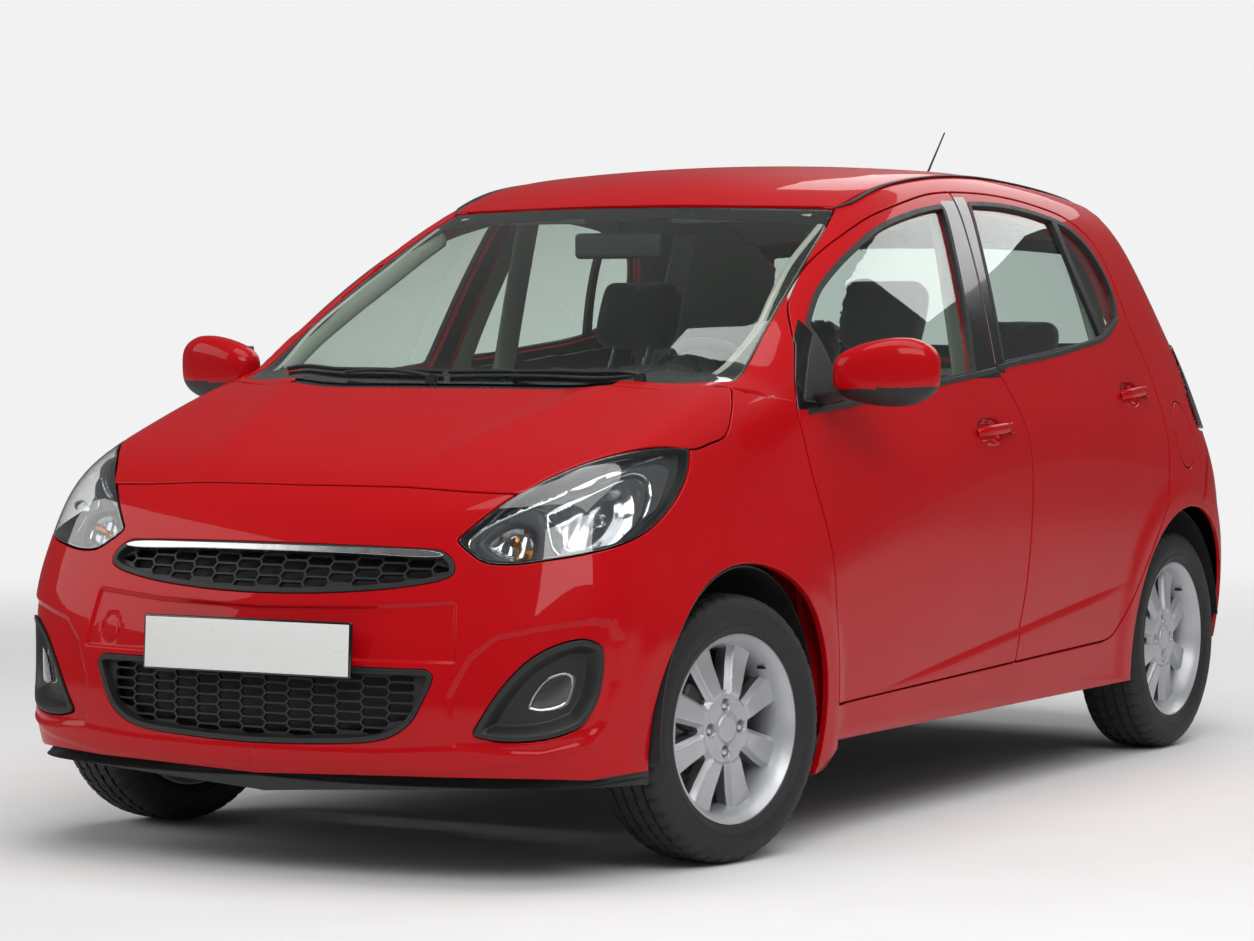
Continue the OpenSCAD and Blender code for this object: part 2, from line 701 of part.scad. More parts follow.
module engine() {
    color("#5b5e62") {
        translate([-330, -1480, 300]) cube([420, 480, 470]);
        translate([90, -1420, 310]) cube([300, 380, 320]);
    }
}
module front_subframe() {
    color("#2a2c2f") merged() {
        translate([-420, -1330, 205]) cube([840, 260, 40]);
        translate([-400, -1720, 250]) cube([60, 800, 60]);
        translate([340, -1720, 250]) cube([60, 800, 60]);
        translate([-400, -1640, 270]) cube([800, 40, 380]);
        for (s = [-1, 1]) translate([s * 485, -1180, 220]) cube([190, 60, 30], center = true);
    }
}
module rear_axle() {
    color("#2a2c2f") merged() {
        translate([-560, 1100, 250]) cube([1120, 80, 70]);
        for (s = [-1, 1]) {
            translate([s * 545, 1060, 285]) cube([50, 520, 60], center = true);
            translate([s * 600, rear_axle_y, hub_z]) rotate([0, 90, 0]) cylinder(r = 34, h = 110, center = true);
        }
    }
}
module exhaust() {
    color("#8f9296") {
        translate([-60, 475, 150]) rotate([90, 0, 0]) cylinder(r = 24, h = 2250, center = true);
        translate([-260, 1620, 235]) rotate([0, 90, 0]) cylinder(r = 80, h = 420, center = true);
        translate([-420, 1740, 215]) rotate([90, 0, 0]) cylinder(r = 24, h = 170, center = true);
    }
}
module fuel_tank() {
    color("#1b1c1e") translate([-200, 680, 185]) cube([620, 380, 140]);
}
module knuckle() {
    color("#5b5e62") merged() {
        translate([600, front_axle_y, hub_z]) rotate([0, 90, 0]) cylinder(r = 42, h = 82);
        translate([600, front_axle_y - 25, 205]) cube([36, 50, 265]);
        translate([625, front_axle_y + 100, hub_z + 30]) rotate([0, 90, 0]) cylinder(r = 42, h = 60);
        translate([600, front_axle_y, hub_z - 20]) cube([40, 110, 60]);
    }
}
module turned(side) {
    pin = [side * king_pin_x, front_axle_y, 0];
    translate(pin) rotate([0, 0, steer_rest]) translate(-pin) children();
}
module knuckle_left() { turned(1) knuckle(); }
module knuckle_right() { turned(-1) mirror([1, 0, 0]) knuckle(); }

// Wheel and tyre about their own centre, outer face towards +X
module rim(disc) {
    color("#c6c9cc") {
        rotate([0, 90, 0]) rotate_extrude() polygon([[rim_radius - 22, -70], [rim_radius, -76],
            [rim_radius, -70], [rim_radius - 14, -60], [rim_radius - 24, 0], [rim_radius - 14, 60],
            [rim_radius, 70], [rim_radius, 76], [rim_radius - 16, 74], [rim_radius - 32, 10]]);
        for (i = [0:spoke_count - 1]) rotate([i * 360 / spoke_count, 0, 0])
            translate([40, 0, 0]) rotate([90, 0, 90]) linear_extrude(26)
                polygon([[-24, 50], [24, 50], [15, rim_radius - 18], [-15, rim_radius - 18]]);
        translate([20, 0, 0]) rotate([0, 90, 0]) cylinder(r = 62, h = 44, $fn = 48);
        translate([-20, 0, 0]) rotate([0, 90, 0]) cylinder(r = 70, h = 45, $fn = 48);
    }
    color("#8f9296") translate([-14, 0, 0]) rotate([0, 90, 0]) cylinder(r = disc, h = 12);
}
module tyre() {
    half = tyre_width / 2;
    color("#161718") rotate([0, 90, 0]) rotate_extrude() polygon([[rim_radius - 12, -64],
        [rim_radius + 4, -76], [rim_radius + 30, -half + 2], [250, -half], [278, -half + 10],
        [288, -half + 22], [290, 0], [288, half - 22], [278, half - 10], [250, half],
        [rim_radius + 30, half - 2], [rim_radius + 4, 76], [rim_radius - 12, 64]]);
}
module wheel_at(side, axle) {
    translate([side * track_half, axle, hub_z]) mirror([side < 0 ? 1 : 0, 0, 0]) children();
}
module wheel_front_left() { turned(1) wheel_at(1, front_axle_y) rim(disc_radius); }
module wheel_front_right() { turned(-1) wheel_at(-1, front_axle_y) rim(disc_radius); }
module wheel_rear_left() { wheel_at(1, rear_axle_y) rim(100); }
module wheel_rear_right() { wheel_at(-1, rear_axle_y) rim(100); }
module tyre_front_left() { turned(1) wheel_at(1, front_axle_y) tyre(); }
module tyre_front_right() { turned(-1) wheel_at(-1, front_axle_y) tyre(); }
module tyre_rear_left() { wheel_at(1, rear_axle_y) tyre(); }
module tyre_rear_right() { wheel_at(-1, rear_axle_y) tyre(); }

floor_pan();
side_frames();
roof_panel();
headliner();
windscreen();
front_fenders();
front_bumper();
rear_bumper();
cowl_panel();
headlamps();
tail_lamps();
grilles();
fog_lamps();
number_plates();
dashboard();
front_seats();
rear_bench();
engine();
exhaust();
rear_axle();
front_subframe();
fuel_tank();
aerial();
wipers();
interior_mirror();
wheel_liners();
front_door_left();
front_door_right();
rear_door_left();
rear_door_right();
front_glass_left();
front_glass_right();
rear_glass_left();
rear_glass_right();
mirror_left();
mirror_right();
tailgate();
tailgate_glass();
bonnet();
fuel_flap();
steering_wheel();
knuckle_left();
knuckle_right();
wheel_front_left();
wheel_front_right();
wheel_rear_left();
wheel_rear_right();
tyre_front_left();
tyre_front_right();
tyre_rear_left();
tyre_rear_right();
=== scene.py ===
"""Visual model of a small five-door hatchback, built round its packed CAD frame.

The outer skin is one smooth body field in millimetres.  Every panel is an outline on that field,
filled with a dense sheet, rolled over at its edges and closed behind.  Cabin, lamps, wheels and
trim are separate classes, and main() builds them in order.
"""

from __future__ import annotations

import logging
import math
from dataclasses import dataclass, field
from enum import Enum
from typing import Callable, Sequence

import bpy
import numpy as np
from mathutils import Matrix, Vector, geometry, kdtree

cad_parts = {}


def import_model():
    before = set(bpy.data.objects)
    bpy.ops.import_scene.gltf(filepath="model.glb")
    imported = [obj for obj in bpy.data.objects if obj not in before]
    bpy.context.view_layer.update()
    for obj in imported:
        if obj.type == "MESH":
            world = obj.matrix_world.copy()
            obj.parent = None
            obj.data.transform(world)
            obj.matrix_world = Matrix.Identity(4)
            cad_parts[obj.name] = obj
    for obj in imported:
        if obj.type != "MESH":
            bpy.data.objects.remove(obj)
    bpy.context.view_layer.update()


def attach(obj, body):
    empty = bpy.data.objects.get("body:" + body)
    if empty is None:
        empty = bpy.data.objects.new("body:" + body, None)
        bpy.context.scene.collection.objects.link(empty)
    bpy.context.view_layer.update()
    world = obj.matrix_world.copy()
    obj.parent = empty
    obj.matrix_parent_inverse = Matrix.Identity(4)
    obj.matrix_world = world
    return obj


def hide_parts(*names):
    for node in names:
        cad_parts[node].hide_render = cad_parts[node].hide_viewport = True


log = logging.getLogger("hatchback")
MM = 0.001
Points = Sequence[Sequence[float]]


# ---------------------------------------------------------------- number helpers


def ease(t: np.ndarray) -> np.ndarray:
    """Smooth step from 0 to 1 of t clamped to 0..1."""
    c = np.clip(t, 0.0, 1.0)
    return c * c * (3 - 2 * c)


def blend_max(a: np.ndarray, b: np.ndarray, width: float | np.ndarray) -> np.ndarray:
    """Larger of a and b, rounded over a width."""
    h = np.maximum(width - np.abs(a - b), 0) / width
    return np.maximum(a, b) + h**3 * width / 6


def blend_min(a: np.ndarray, b: np.ndarray, width: float) -> np.ndarray:
    """Smaller of a and b, rounded over a width."""
    return -blend_max(-a, -b, width)


def blended_curve(controls: Sequence[float], low: float, high: float, at: np.ndarray) -> np.ndarray:
    """Cubic blend of evenly spaced control values.

    Args:
        controls: The control values.
        low: Station of the first control.
        high: Station of the last control.
        at: Stations to read.

    Returns:
        The blended value at each station.
    """
    c = np.asarray(controls, float)
    n = len(c) - 1
    u = np.clip((np.asarray(at, float) - low) / (high - low) * n, 0, n)
    k = np.minimum(np.floor(u).astype(int), n - 1)
    f = u - k
    e = np.concatenate([[2 * c[0] - c[1]], c, [2 * c[-1] - c[-2]]])
    return (
        (1 - f) ** 3 * e[k]
        + (3 * f**3 - 6 * f**2 + 4) * e[k + 1]
        + (-3 * f**3 + 3 * f**2 + 3 * f + 1) * e[k + 2]
        + f**3 * e[k + 3]
    ) / 6


def unit(v: np.ndarray) -> np.ndarray:
    """Rows of v scaled to length one."""
    return v / np.maximum(np.linalg.norm(v, axis=-1, keepdims=True), 1e-9)


def inside_distance(at: np.ndarray, outline: np.ndarray) -> np.ndarray:
    """Distance of points from a closed outline, positive inside it.

    Args:
        at: Points, one row each.
        outline: Corners of the closed outline.

    Returns:
        One signed distance per point.
    """
    a = outline[None, :, :]
    b = np.roll(outline, -1, axis=0)[None, :, :]
    p = at[:, None, :]
    ab = b - a
    t = np.clip(((p - a) * ab).sum(-1) / np.maximum((ab**2).sum(-1), 1e-9), 0, 1)
    far = np.sqrt((((a + ab * t[..., None]) - p) ** 2).sum(-1)).min(1)
    crosses = (a[..., 1] > p[..., 1]) != (b[..., 1] > p[..., 1])
    rise = np.where(np.abs(ab[..., 1]) < 1e-9, 1e-9, ab[..., 1])
    x_at = a[..., 0] + (p[..., 1] - a[..., 1]) * ab[..., 0] / rise
    inside = (crosses & (p[..., 0] < x_at)).sum(1) % 2 == 1
    return np.where(inside, far, -far)


def smooth_line(points: Points, step: float = 12.0) -> np.ndarray:
    """Open smooth line through points, sampled about every step.

    Args:
        points: The points it passes through.
        step: Distance between samples.

    Returns:
        The samples, ends included.
    """
    p = np.asarray(points, float)
    if len(p) == 2:
        count = max(int(np.linalg.norm(p[1] - p[0]) / step), 1)
        return p[0] + (p[1] - p[0]) * np.linspace(0, 1, count + 1)[:, None]
    chord = np.sqrt(np.linalg.norm(np.diff(p, axis=0), axis=1))
    slope = np.empty_like(p)
    slope[1:-1] = (
        (p[1:-1] - p[:-2]) / chord[:-1, None] * (chord[1:] / (chord[1:] + chord[:-1]))[:, None]
        + (p[2:] - p[1:-1]) / chord[1:, None] * (chord[:-1] / (chord[1:] + chord[:-1]))[:, None]
    )
    slope[0] = 1.5 * (p[1] - p[0]) / chord[0] - 0.5 * slope[1]
    slope[-1] = 1.5 * (p[-1] - p[-2]) / chord[-1] - 0.5 * slope[-2]
    out = []
    for i in range(len(p) - 1):
        count = max(int(round(np.linalg.norm(p[i + 1] - p[i]) / step)), 1)
        t = (np.arange(count) / count)[:, None]
        h = chord[i]
        out.append(
            (2 * t**3 - 3 * t**2 + 1) * p[i]
            + (t**3 - 2 * t**2 + t) * h * slope[i]
            + (3 * t**2 - 2 * t**3) * p[i + 1]
            + (t**3 - t**2) * h * slope[i + 1]
        )
    return np.concatenate(out + [p[-1:]])


# ---------------------------------------------------------------- body field


class Chart(Enum):
    """Ways of laying a flat map over the body."""

    SIDE = "side"
    PLAN = "plan"
    FRONT = "front"
    REAR = "rear"
    LAMP = "lamp"
    RING = "ring"
    NOSE = "nose"
    TAIL = "tail"
    HATCH = "hatch"


LAMP_TURN = math.radians(40)


@dataclass(frozen=True)
class BodyField:
    """Smooth outer shape of the car as a signed depth, in millimetres."""

    ends: tuple[float, float] = (-1850.0, 1850.0)
    half_width: tuple[float, ...] = (680, 805, 833, 834, 835, 836, 838, 842, 848, 841, 770)
    belt_width: tuple[float, ...] = (640, 690, 730, 752, 775, 786, 788, 780, 758, 715, 640)
    shoulder_z: tuple[float, ...] = (700, 745, 760, 790, 838, 880, 922, 950, 965, 972, 975)
    nose_y: tuple[float, ...] = (-1758, -1822, -1861, -1862, -1845, -1809, -1768, -1738, -1676, -1548)
    hood_z: tuple[float, ...] = (728, 831, 906, 969, 1028, 1068, 1094)
    roof_z: tuple[float, ...] = (1448, 1498, 1534, 1542, 1527, 1506, 1475, 1422)
    tail_y: tuple[float, ...] = (
        1756, 1812, 1846, 1864, 1856, 1824, 1787, 1745, 1712, 1668, 1594, 1525, 1457, 1390,
    )
    axles: tuple[float, float] = (-1157.0, 1267.0)
    hub_z: float = 290.0

    def shoulder(self, y: np.ndarray) -> np.ndarray:
        """Height of the shoulder line at stations y."""
        return blended_curve(self.shoulder_z, *self.ends, y)

    def side(self, y: np.ndarray, z: np.ndarray) -> np.ndarray:
        """Half width of the body at stations y and heights z."""
        w = blended_curve(self.half_width, *self.ends, y)
        low = w - 0.00011 * np.maximum(750 - z, 0) ** 2
        for axle in self.axles:
            low = low + 7 * ease((455 - np.hypot(y - axle, z - self.hub_z)) / 60)
        d = z - (330 + 0.11 * (y + 400))
        reach = np.clip((y + 700) / 500, 0, 1) * np.clip((900 - y) / 300, 0, 1)
        fall = np.where(d > 0, (1 - np.clip(d / 140, 0, 1)) ** 2, np.clip(1 + d / 25, 0, 1) ** 2)
        low = low - 5 * reach * fall
        shoulder = w - (z - self.shoulder(y)) * 0.26
        belt = 1028 + 0.092 * (y - 100)
        up = np.maximum(z - belt, 0)
        cabin = blended_curve(self.belt_width, *self.ends, y) - (z - belt) * 0.30 - 0.0002 * up**2
        return blend_min(blend_min(low, shoulder, 14), cabin, 40)

    def top(self, x: np.ndarray, y: np.ndarray) -> np.ndarray:
        """Height of the bonnet, screen and roof sheets."""
        hood = blended_curve(self.hood_z, -1850, -650, y) - x**2 / 26000
        hood = hood - 1.5e-7 * np.maximum(x - 400, 0) ** 3
        line = (x - (300 + 0.30 * (y + 1500))) / 70
        hood = hood + 10 * np.exp(-(line**2)) * np.clip((y + 1700) / 300, 0, 1)
        t = (y + 1040 - x**2 * 0.00018) / 825
        screen = 1005 + 440 * t + 26 * np.sin(np.pi * np.clip(t, -0.2, 1.2)) - x**2 / 20000
        roof = blended_curve(self.roof_z, -300, 1450, y) - x**2 / 11550
        return blend_max(hood, blend_min(screen, roof, 60), 30)

    def nose(self, x: np.ndarray, z: np.ndarray) -> np.ndarray:
        """Station of the front face."""
        return (
            blended_curve(self.nose_y, 100, 1000, z) + x**2 / 4200
            + 1.2e-7 * np.maximum(x - 300, 0) ** 3
        )

    def tail(self, x: np.ndarray, z: np.ndarray) -> np.ndarray:
        """Station of the rear face."""
        return (
            blended_curve(self.tail_y, 100, 1400, z) - x**2 / 4564
            - 1.2e-7 * np.maximum(x - 300, 0) ** 3
        )

    def depth(self, p: np.ndarray) -> np.ndarray:
        """Signed depth of points: negative inside the body."""
        x, y, z = np.abs(p[..., 0]), p[..., 1], p[..., 2]
        a = blend_max(x - self.side(y, z), z - self.top(x, y), np.where(y < -700, 123.0, 139.0))
        a = blend_max(a, self.nose(x, z) - y, 188.0)
        a = blend_max(a, y - self.tail(x, z), 247.0)
        return blend_max(a, 150 - z, 20.0)

    def normal(self, p: np.ndarray) -> np.ndarray:
        """Outward direction of the field at points."""
        g = np.empty_like(p)
        for i in range(3):
            d = np.zeros(3)
            d[i] = 0.6
            g[..., i] = self.depth(p + d) - self.depth(p - d)
        return unit(g)

    def rays(self, chart: Chart, u: np.ndarray, v: np.ndarray) -> tuple[np.ndarray, np.ndarray, np.ndarray]:
        """Origins, directions and first distances of a chart's rays.

        Args:
            chart: The chart.
            u: First map coordinate, in millimetres or scaled angle.
            v: Second map coordinate.

        Returns:
            Origins, directions and starting distances.
        """
        one, nil = np.ones_like(u), np.zeros_like(u)
        s, c = math.sin(LAMP_TURN), math.cos(LAMP_TURN)
        if chart is Chart.SIDE:
            return np.stack([nil, u, v], -1), np.stack([one, nil, nil], -1), self.side(u, v)
        if chart is Chart.PLAN:
            return np.stack([u, v, nil], -1), np.stack([nil, nil, one], -1), self.top(np.abs(u), v) - 20
        if chart is Chart.FRONT:
            return np.stack([u, nil - 900, v], -1), np.stack([nil, -one, nil], -1), -900 - self.nose(np.abs(u), v)
        if chart is Chart.REAR:
            return np.stack([-u, nil + 900, v], -1), np.stack([nil, one, nil], -1), self.tail(np.abs(u), v) - 900
        if chart is Chart.LAMP:
            return np.stack([u * c, u * s, v], -1), np.stack([one * s, -one * c, nil], -1), one * 1560
        if chart is Chart.RING:
            a = v / 500
            return np.stack([nil + 300, u, nil + 750], -1), np.stack([np.cos(a), nil, np.sin(a)], -1), one * 520
        if chart is Chart.NOSE:
            a = u / 850
            return np.stack([nil, nil - 1000, v], -1), np.stack([np.sin(a), -np.cos(a), nil], -1), one * 800
        if chart is Chart.TAIL:
            a = u / 860
            return np.stack([nil, nil + 1000, v], -1), np.stack([-np.sin(a), np.cos(a), nil], -1), one * 800
        a = v / 980
        return np.stack([-u, nil + 700, nil + 700], -1), np.stack([nil, np.cos(a), np.sin(a)], -1), one * 980

    def lift(self, chart: Chart, uv: np.ndarray) -> np.ndarray:
        """Points of the body surface at map coordinates.

        Args:
            chart: The chart.
            uv: Map coordinates, one row each.

        Returns:
            One point per row, in millimetres.
        """
        o, d, t = self.rays(chart, uv[:, 0].astype(float), uv[:, 1].astype(float))
        for _ in range(16):
            f = self.depth(o + d * t[:, None])
            g = (self.depth(o + d * (t[:, None] + 2)) - f) / 2
            t = t - np.clip(f / np.maximum(g, 0.3), -60, 60)
        return o + d * t[:, None]

    def lay(self, chart: Chart, p: np.ndarray) -> np.ndarray:
        """Map coordinates of points.

        Args:
            chart: The chart.
            p: Points near the body, one row each.

        Returns:
            One pair of map coordinates per row.
        """
        x, y, z = p[:, 0], p[:, 1], p[:, 2]
        s, c = math.sin(LAMP_TURN), math.cos(LAMP_TURN)
        if chart is Chart.SIDE:
            return np.stack([y, z], -1)
        if chart is Chart.PLAN:
            return np.stack([x, y], -1)
        if chart is Chart.FRONT:
            return np.stack([x, z], -1)
        if chart is Chart.REAR:
            return np.stack([-x, z], -1)
        if chart is Chart.LAMP:
            return np.stack([x * c + y * s, z], -1)
        if chart is Chart.RING:
            return np.stack([y, np.arctan2(z - 750, x - 300) * 500], -1)
        if chart is Chart.NOSE:
            return np.stack([np.arctan2(x, -(y + 1000)) * 850, z], -1)
        if chart is Chart.TAIL:
            return np.stack([np.arctan2(-x, y - 1000) * 860, z], -1)
        return np.stack([-x, np.arctan2(z - 700, y - 700) * 980], -1)


BODY = BodyField()


def flipped(points: Points) -> np.ndarray:
    """Outline from its half on one side of the centre line, mirrored in its first coordinate."""
    half = np.asarray(points, float)
    other = half[::-1] * np.array([-1, 1])
    return np.concatenate([half, other[np.abs(other[:, 0]) > 0.5]])


def outward(loop: np.ndarray, normals: np.ndarray) -> np.ndarray:
    """Direction away from a closed loop at each of its points, along the surface.

    Args:
        loop: Points of the loop, counter-clockwise seen from outside.
        normals: Surface direction at each point.

    Returns:
        One direction per point, lengthened at corners.
    """
    ahead = unit(np.roll(loop, -1, axis=0) - loop)
    out = np.cross(ahead, normals)
    back = np.cross(np.roll(ahead, 1, axis=0), normals)
    out, back = unit(out), unit(back)
    both = out + back
    return both / np.maximum(1 + (out * back).sum(1), 0.55)[:, None]


def wind(loop: np.ndarray) -> np.ndarray:
    """The loop turned counter-clockwise seen from outside the body."""
    n = BODY.normal(loop)
    middle = loop.mean(0)
    turn = np.cross(loop - middle, np.roll(loop, -1, axis=0) - middle)
    return loop if (turn * n).sum() > 0 else loop[::-1]


def round_corners(loop: np.ndarray, corners: Sequence[int], radius: float) -> np.ndarray:
    """Closed loop with some corners rounded.

    Args:
        loop: Points of the loop.
        corners: Which points are corners.
        radius: How far along each leg the rounding starts.

    Returns:
        The new loop.
    """
    out: list[np.ndarray] = []
    n = len(loop)
    for i in range(n):
        if i not in corners or radius <= 0:
            out.append(loop[i])
            continue
        before, after = loop[i - 1] - loop[i], loop[(i + 1) % n] - loop[i]
        a = before * min(0.85, radius / max(np.linalg.norm(before), 1e-6))
        b = after * min(0.85, radius / max(np.linalg.norm(after), 1e-6))
        for t in (0.0, 0.25, 0.5, 0.75, 1.0):
            out.append(loop[i] + a * (1 - t) ** 2 + b * t**2)
    return np.asarray(out)


def trace(
    *runs: tuple[Chart, Points], mirror: bool = False, radius: float = 8.0, step: float = 12.0
) -> np.ndarray:
    """Closed line on the body, made of smooth runs with corners between them.

    Args:
        runs: Each run's chart and the map points it passes through.
        mirror: Whether the runs are the left half of a loop over the centre line.
        radius: Rounding of the corners between runs.
        step: Distance between samples.

    Returns:
        Points of the loop, counter-clockwise from outside.
    """
    parts: list[np.ndarray] = []
    for chart, points in runs:
        laid = smooth_line(points, step)
        if chart is Chart.REAR:
            laid = laid * np.array([-1, 1])
        part = BODY.lift(chart, laid)
        if parts and np.linalg.norm(parts[-1][-1] - part[0]) < 4:
            part = part[1:]
        parts.append(part)
    corners = list(np.cumsum([len(p) for p in parts]) - 1)
    loop = np.concatenate(parts)
    if mirror:
        joints = corners[:-1]
        other = loop[::-1] * np.array([-1, 1, 1])
        keep = np.abs(other[:, 0]) > 0.5
        total = len(loop)
        index = np.cumsum(keep) - 1 + total
        corners = joints + [int(index[total - 1 - c]) for c in joints]
        loop = np.concatenate([loop, other[keep]])
    elif np.linalg.norm(loop[0] - loop[-1]) < 4:
        loop = loop[:-1]
        corners[-1] = 0
    else:
        corners.append(0)
    return wind(round_corners(loop, corners, radius))


def grown(loop: np.ndarray, by: float) -> np.ndarray:
    """The loop moved outwards along the body by a distance, without the loops that fold over."""
    moved = loop + outward(loop, BODY.normal(loop)) * by
    if abs(by) < 8:
        return moved
    leg = np.roll(loop, -1, axis=0) - loop
    gap = moved[:, None, :] - loop[None, :, :]
    t = np.clip((gap * leg).sum(-1) / np.maximum((leg**2).sum(-1), 1e-9), 0, 1)
    far = np.linalg.norm(gap - leg * t[..., None], axis=-1).min(1)
    return moved[far > 0.9 * abs(by)]


def opposite(loop: np.ndarray) -> np.ndarray:
    """The same loop on the other side of the car."""
    return (loop * np.array([-1, 1, 1]))[::-1]


def disc_line(chart: Chart, centre: Sequence[float], radii: Sequence[float], count: int = 40) -> np.ndarray:
    """Closed oval on the body.

    Args:
        chart: The chart it is drawn in.
        centre: Its middle.
        radii: Its two half widths.
        count: Number of points.

    Returns:
        Points of the loop.
    """
    a = np.linspace(0, 2 * np.pi, count, endpoint=False)
    laid = np.stack([centre[0] + radii[0] * np.cos(a), centre[1] + radii[1] * np.sin(a)], -1)
    return wind(BODY.lift(chart, laid))


@dataclass(frozen=True)
class Relief:
    """A raised or sunk area of a panel with a soft edge."""

    chart: Chart
    outline: np.ndarray
    height: float
    edge: float
    sides: bool = True

    def rise(self, p: np.ndarray) -> np.ndarray:
        """Height of the relief at points."""
        q = np.stack([np.abs(p[:, 0]), p[:, 1], p[:, 2]], -1) if self.sides else p
        d = inside_distance(BODY.lay(self.chart, q), self.outline)
        return self.height * ease(d / self.edge + 0.5)

    def rows(self) -> np.ndarray:
        """Body points in five rows along its soft edge."""
        rows = edge_rows(self.outline, [self.edge * k for k in (-0.5, -0.25, 0.0, 0.25, 0.5)], 7.0)
        points = BODY.lift(self.chart, rows)
        return np.concatenate([points, points * np.array([-1, 1, 1])]) if self.sides else points


# ---------------------------------------------------------------- sheets


@dataclass
class Solid:
    """Arrays of one mesh before it becomes an object."""

    points: list[np.ndarray] = field(default_factory=list)
    faces: list[list[int]] = field(default_factory=list)
    normals: list[np.ndarray] = field(default_factory=list)
    slots: list[int] = field(default_factory=list)
    size: int = 0

    def add(self, points: np.ndarray) -> int:
        """Adds points and returns the index of the first."""
        first = self.size
        self.points.append(points)
        self.size += len(points)
        return first

    def face(self, corners: Sequence[int], normals: Sequence[np.ndarray], slot: int) -> None:
        """Adds a face with a normal at each of its corners."""
        self.faces.append([int(c) for c in corners])
        self.normals.extend(normals)
        self.slots.append(slot)

    def mirrored(self) -> "Solid":
        """The same mesh on the other side of the car."""
        flip = np.array([-1.0, 1.0, 1.0])
        out = Solid([p * flip for p in self.points], [], [], list(self.slots), self.size)
        at = 0
        for f in self.faces:
            n = self.normals[at : at + len(f)]
            at += len(f)
            out.faces.append(f[::-1])
            out.normals.extend([v * flip for v in n[::-1]])
        return out

    def build(self, name: str, finishes: Sequence[bpy.types.Material]) -> bpy.types.Object:
        """Makes the object.

        Args:
            name: Its name.
            finishes: Its materials, in slot order.

        Returns:
            The object, at the origin.
        """
        mesh = bpy.data.meshes.new(name)
        mesh.from_pydata((np.concatenate(self.points) * MM).tolist(), [], self.faces)
        for finish in finishes:
            mesh.materials.append(finish)
        mesh.polygons.foreach_set("material_index", self.slots)
        mesh.polygons.foreach_set("use_smooth", [True] * len(self.faces))
        mesh.update()
        mesh.normals_split_custom_set([n.tolist() for n in self.normals])
        piece = bpy.data.objects.new(name, mesh)
        bpy.context.scene.collection.objects.link(piece)
        return piece


Height = float | Callable[[np.ndarray], np.ndarray]


@dataclass(frozen=True)
class FlatFace:
    """A flat face at x = 0 looking along +X, mapped by y and z."""

    def lift(self, chart: Chart, uv: np.ndarray) -> np.ndarray:
        """Points of the face at map coordinates."""
        return np.stack([np.zeros(len(uv)), uv[:, 0], uv[:, 1]], -1)

    def normal(self, p: np.ndarray) -> np.ndarray:
        """The face's direction at points."""
        return np.tile(np.array([1.0, 0.0, 0.0]), (len(p), 1))


def edge_rows(loop: np.ndarray, offsets: Sequence[float], step: float) -> np.ndarray:
    """Rows of points beside a closed flat line.

    Args:
        loop: The line.
        offsets: How far each row lies outside it.
        step: Spacing along a row.

    Returns:
        The points of every row.
    """
    ahead = np.roll(loop, -1, axis=0) - loop
    lengths = np.linalg.norm(ahead, axis=1)
    turn = 1.0 if (loop[:, 0] * np.roll(loop, -1, axis=0)[:, 1]).sum() > (
        loop[:, 1] * np.roll(loop, -1, axis=0)[:, 0]).sum() else -1.0
    out = []
    for start, leg, length in zip(loop, ahead, lengths):
        count = max(int(length / step), 1)
        t = (np.arange(count) + 0.5)[:, None] / count
        away = np.array([leg[1], -leg[0]]) / max(length, 1e-6) * turn
        out += [start + leg * t + away * offset for offset in offsets]
    return np.concatenate(out)


def thinned(grid: np.ndarray, rows: np.ndarray, room: float) -> np.ndarray:
    """Grid points kept clear of rows, with the rows added."""
    tree = kdtree.KDTree(len(rows))
    for i, row in enumerate(rows):
        tree.insert((row[0], row[1], 0), i)
    tree.balance()
    far = [tree.find((g[0], g[1], 0))[2] > room for g in grid]
    return np.concatenate([grid[far], rows])


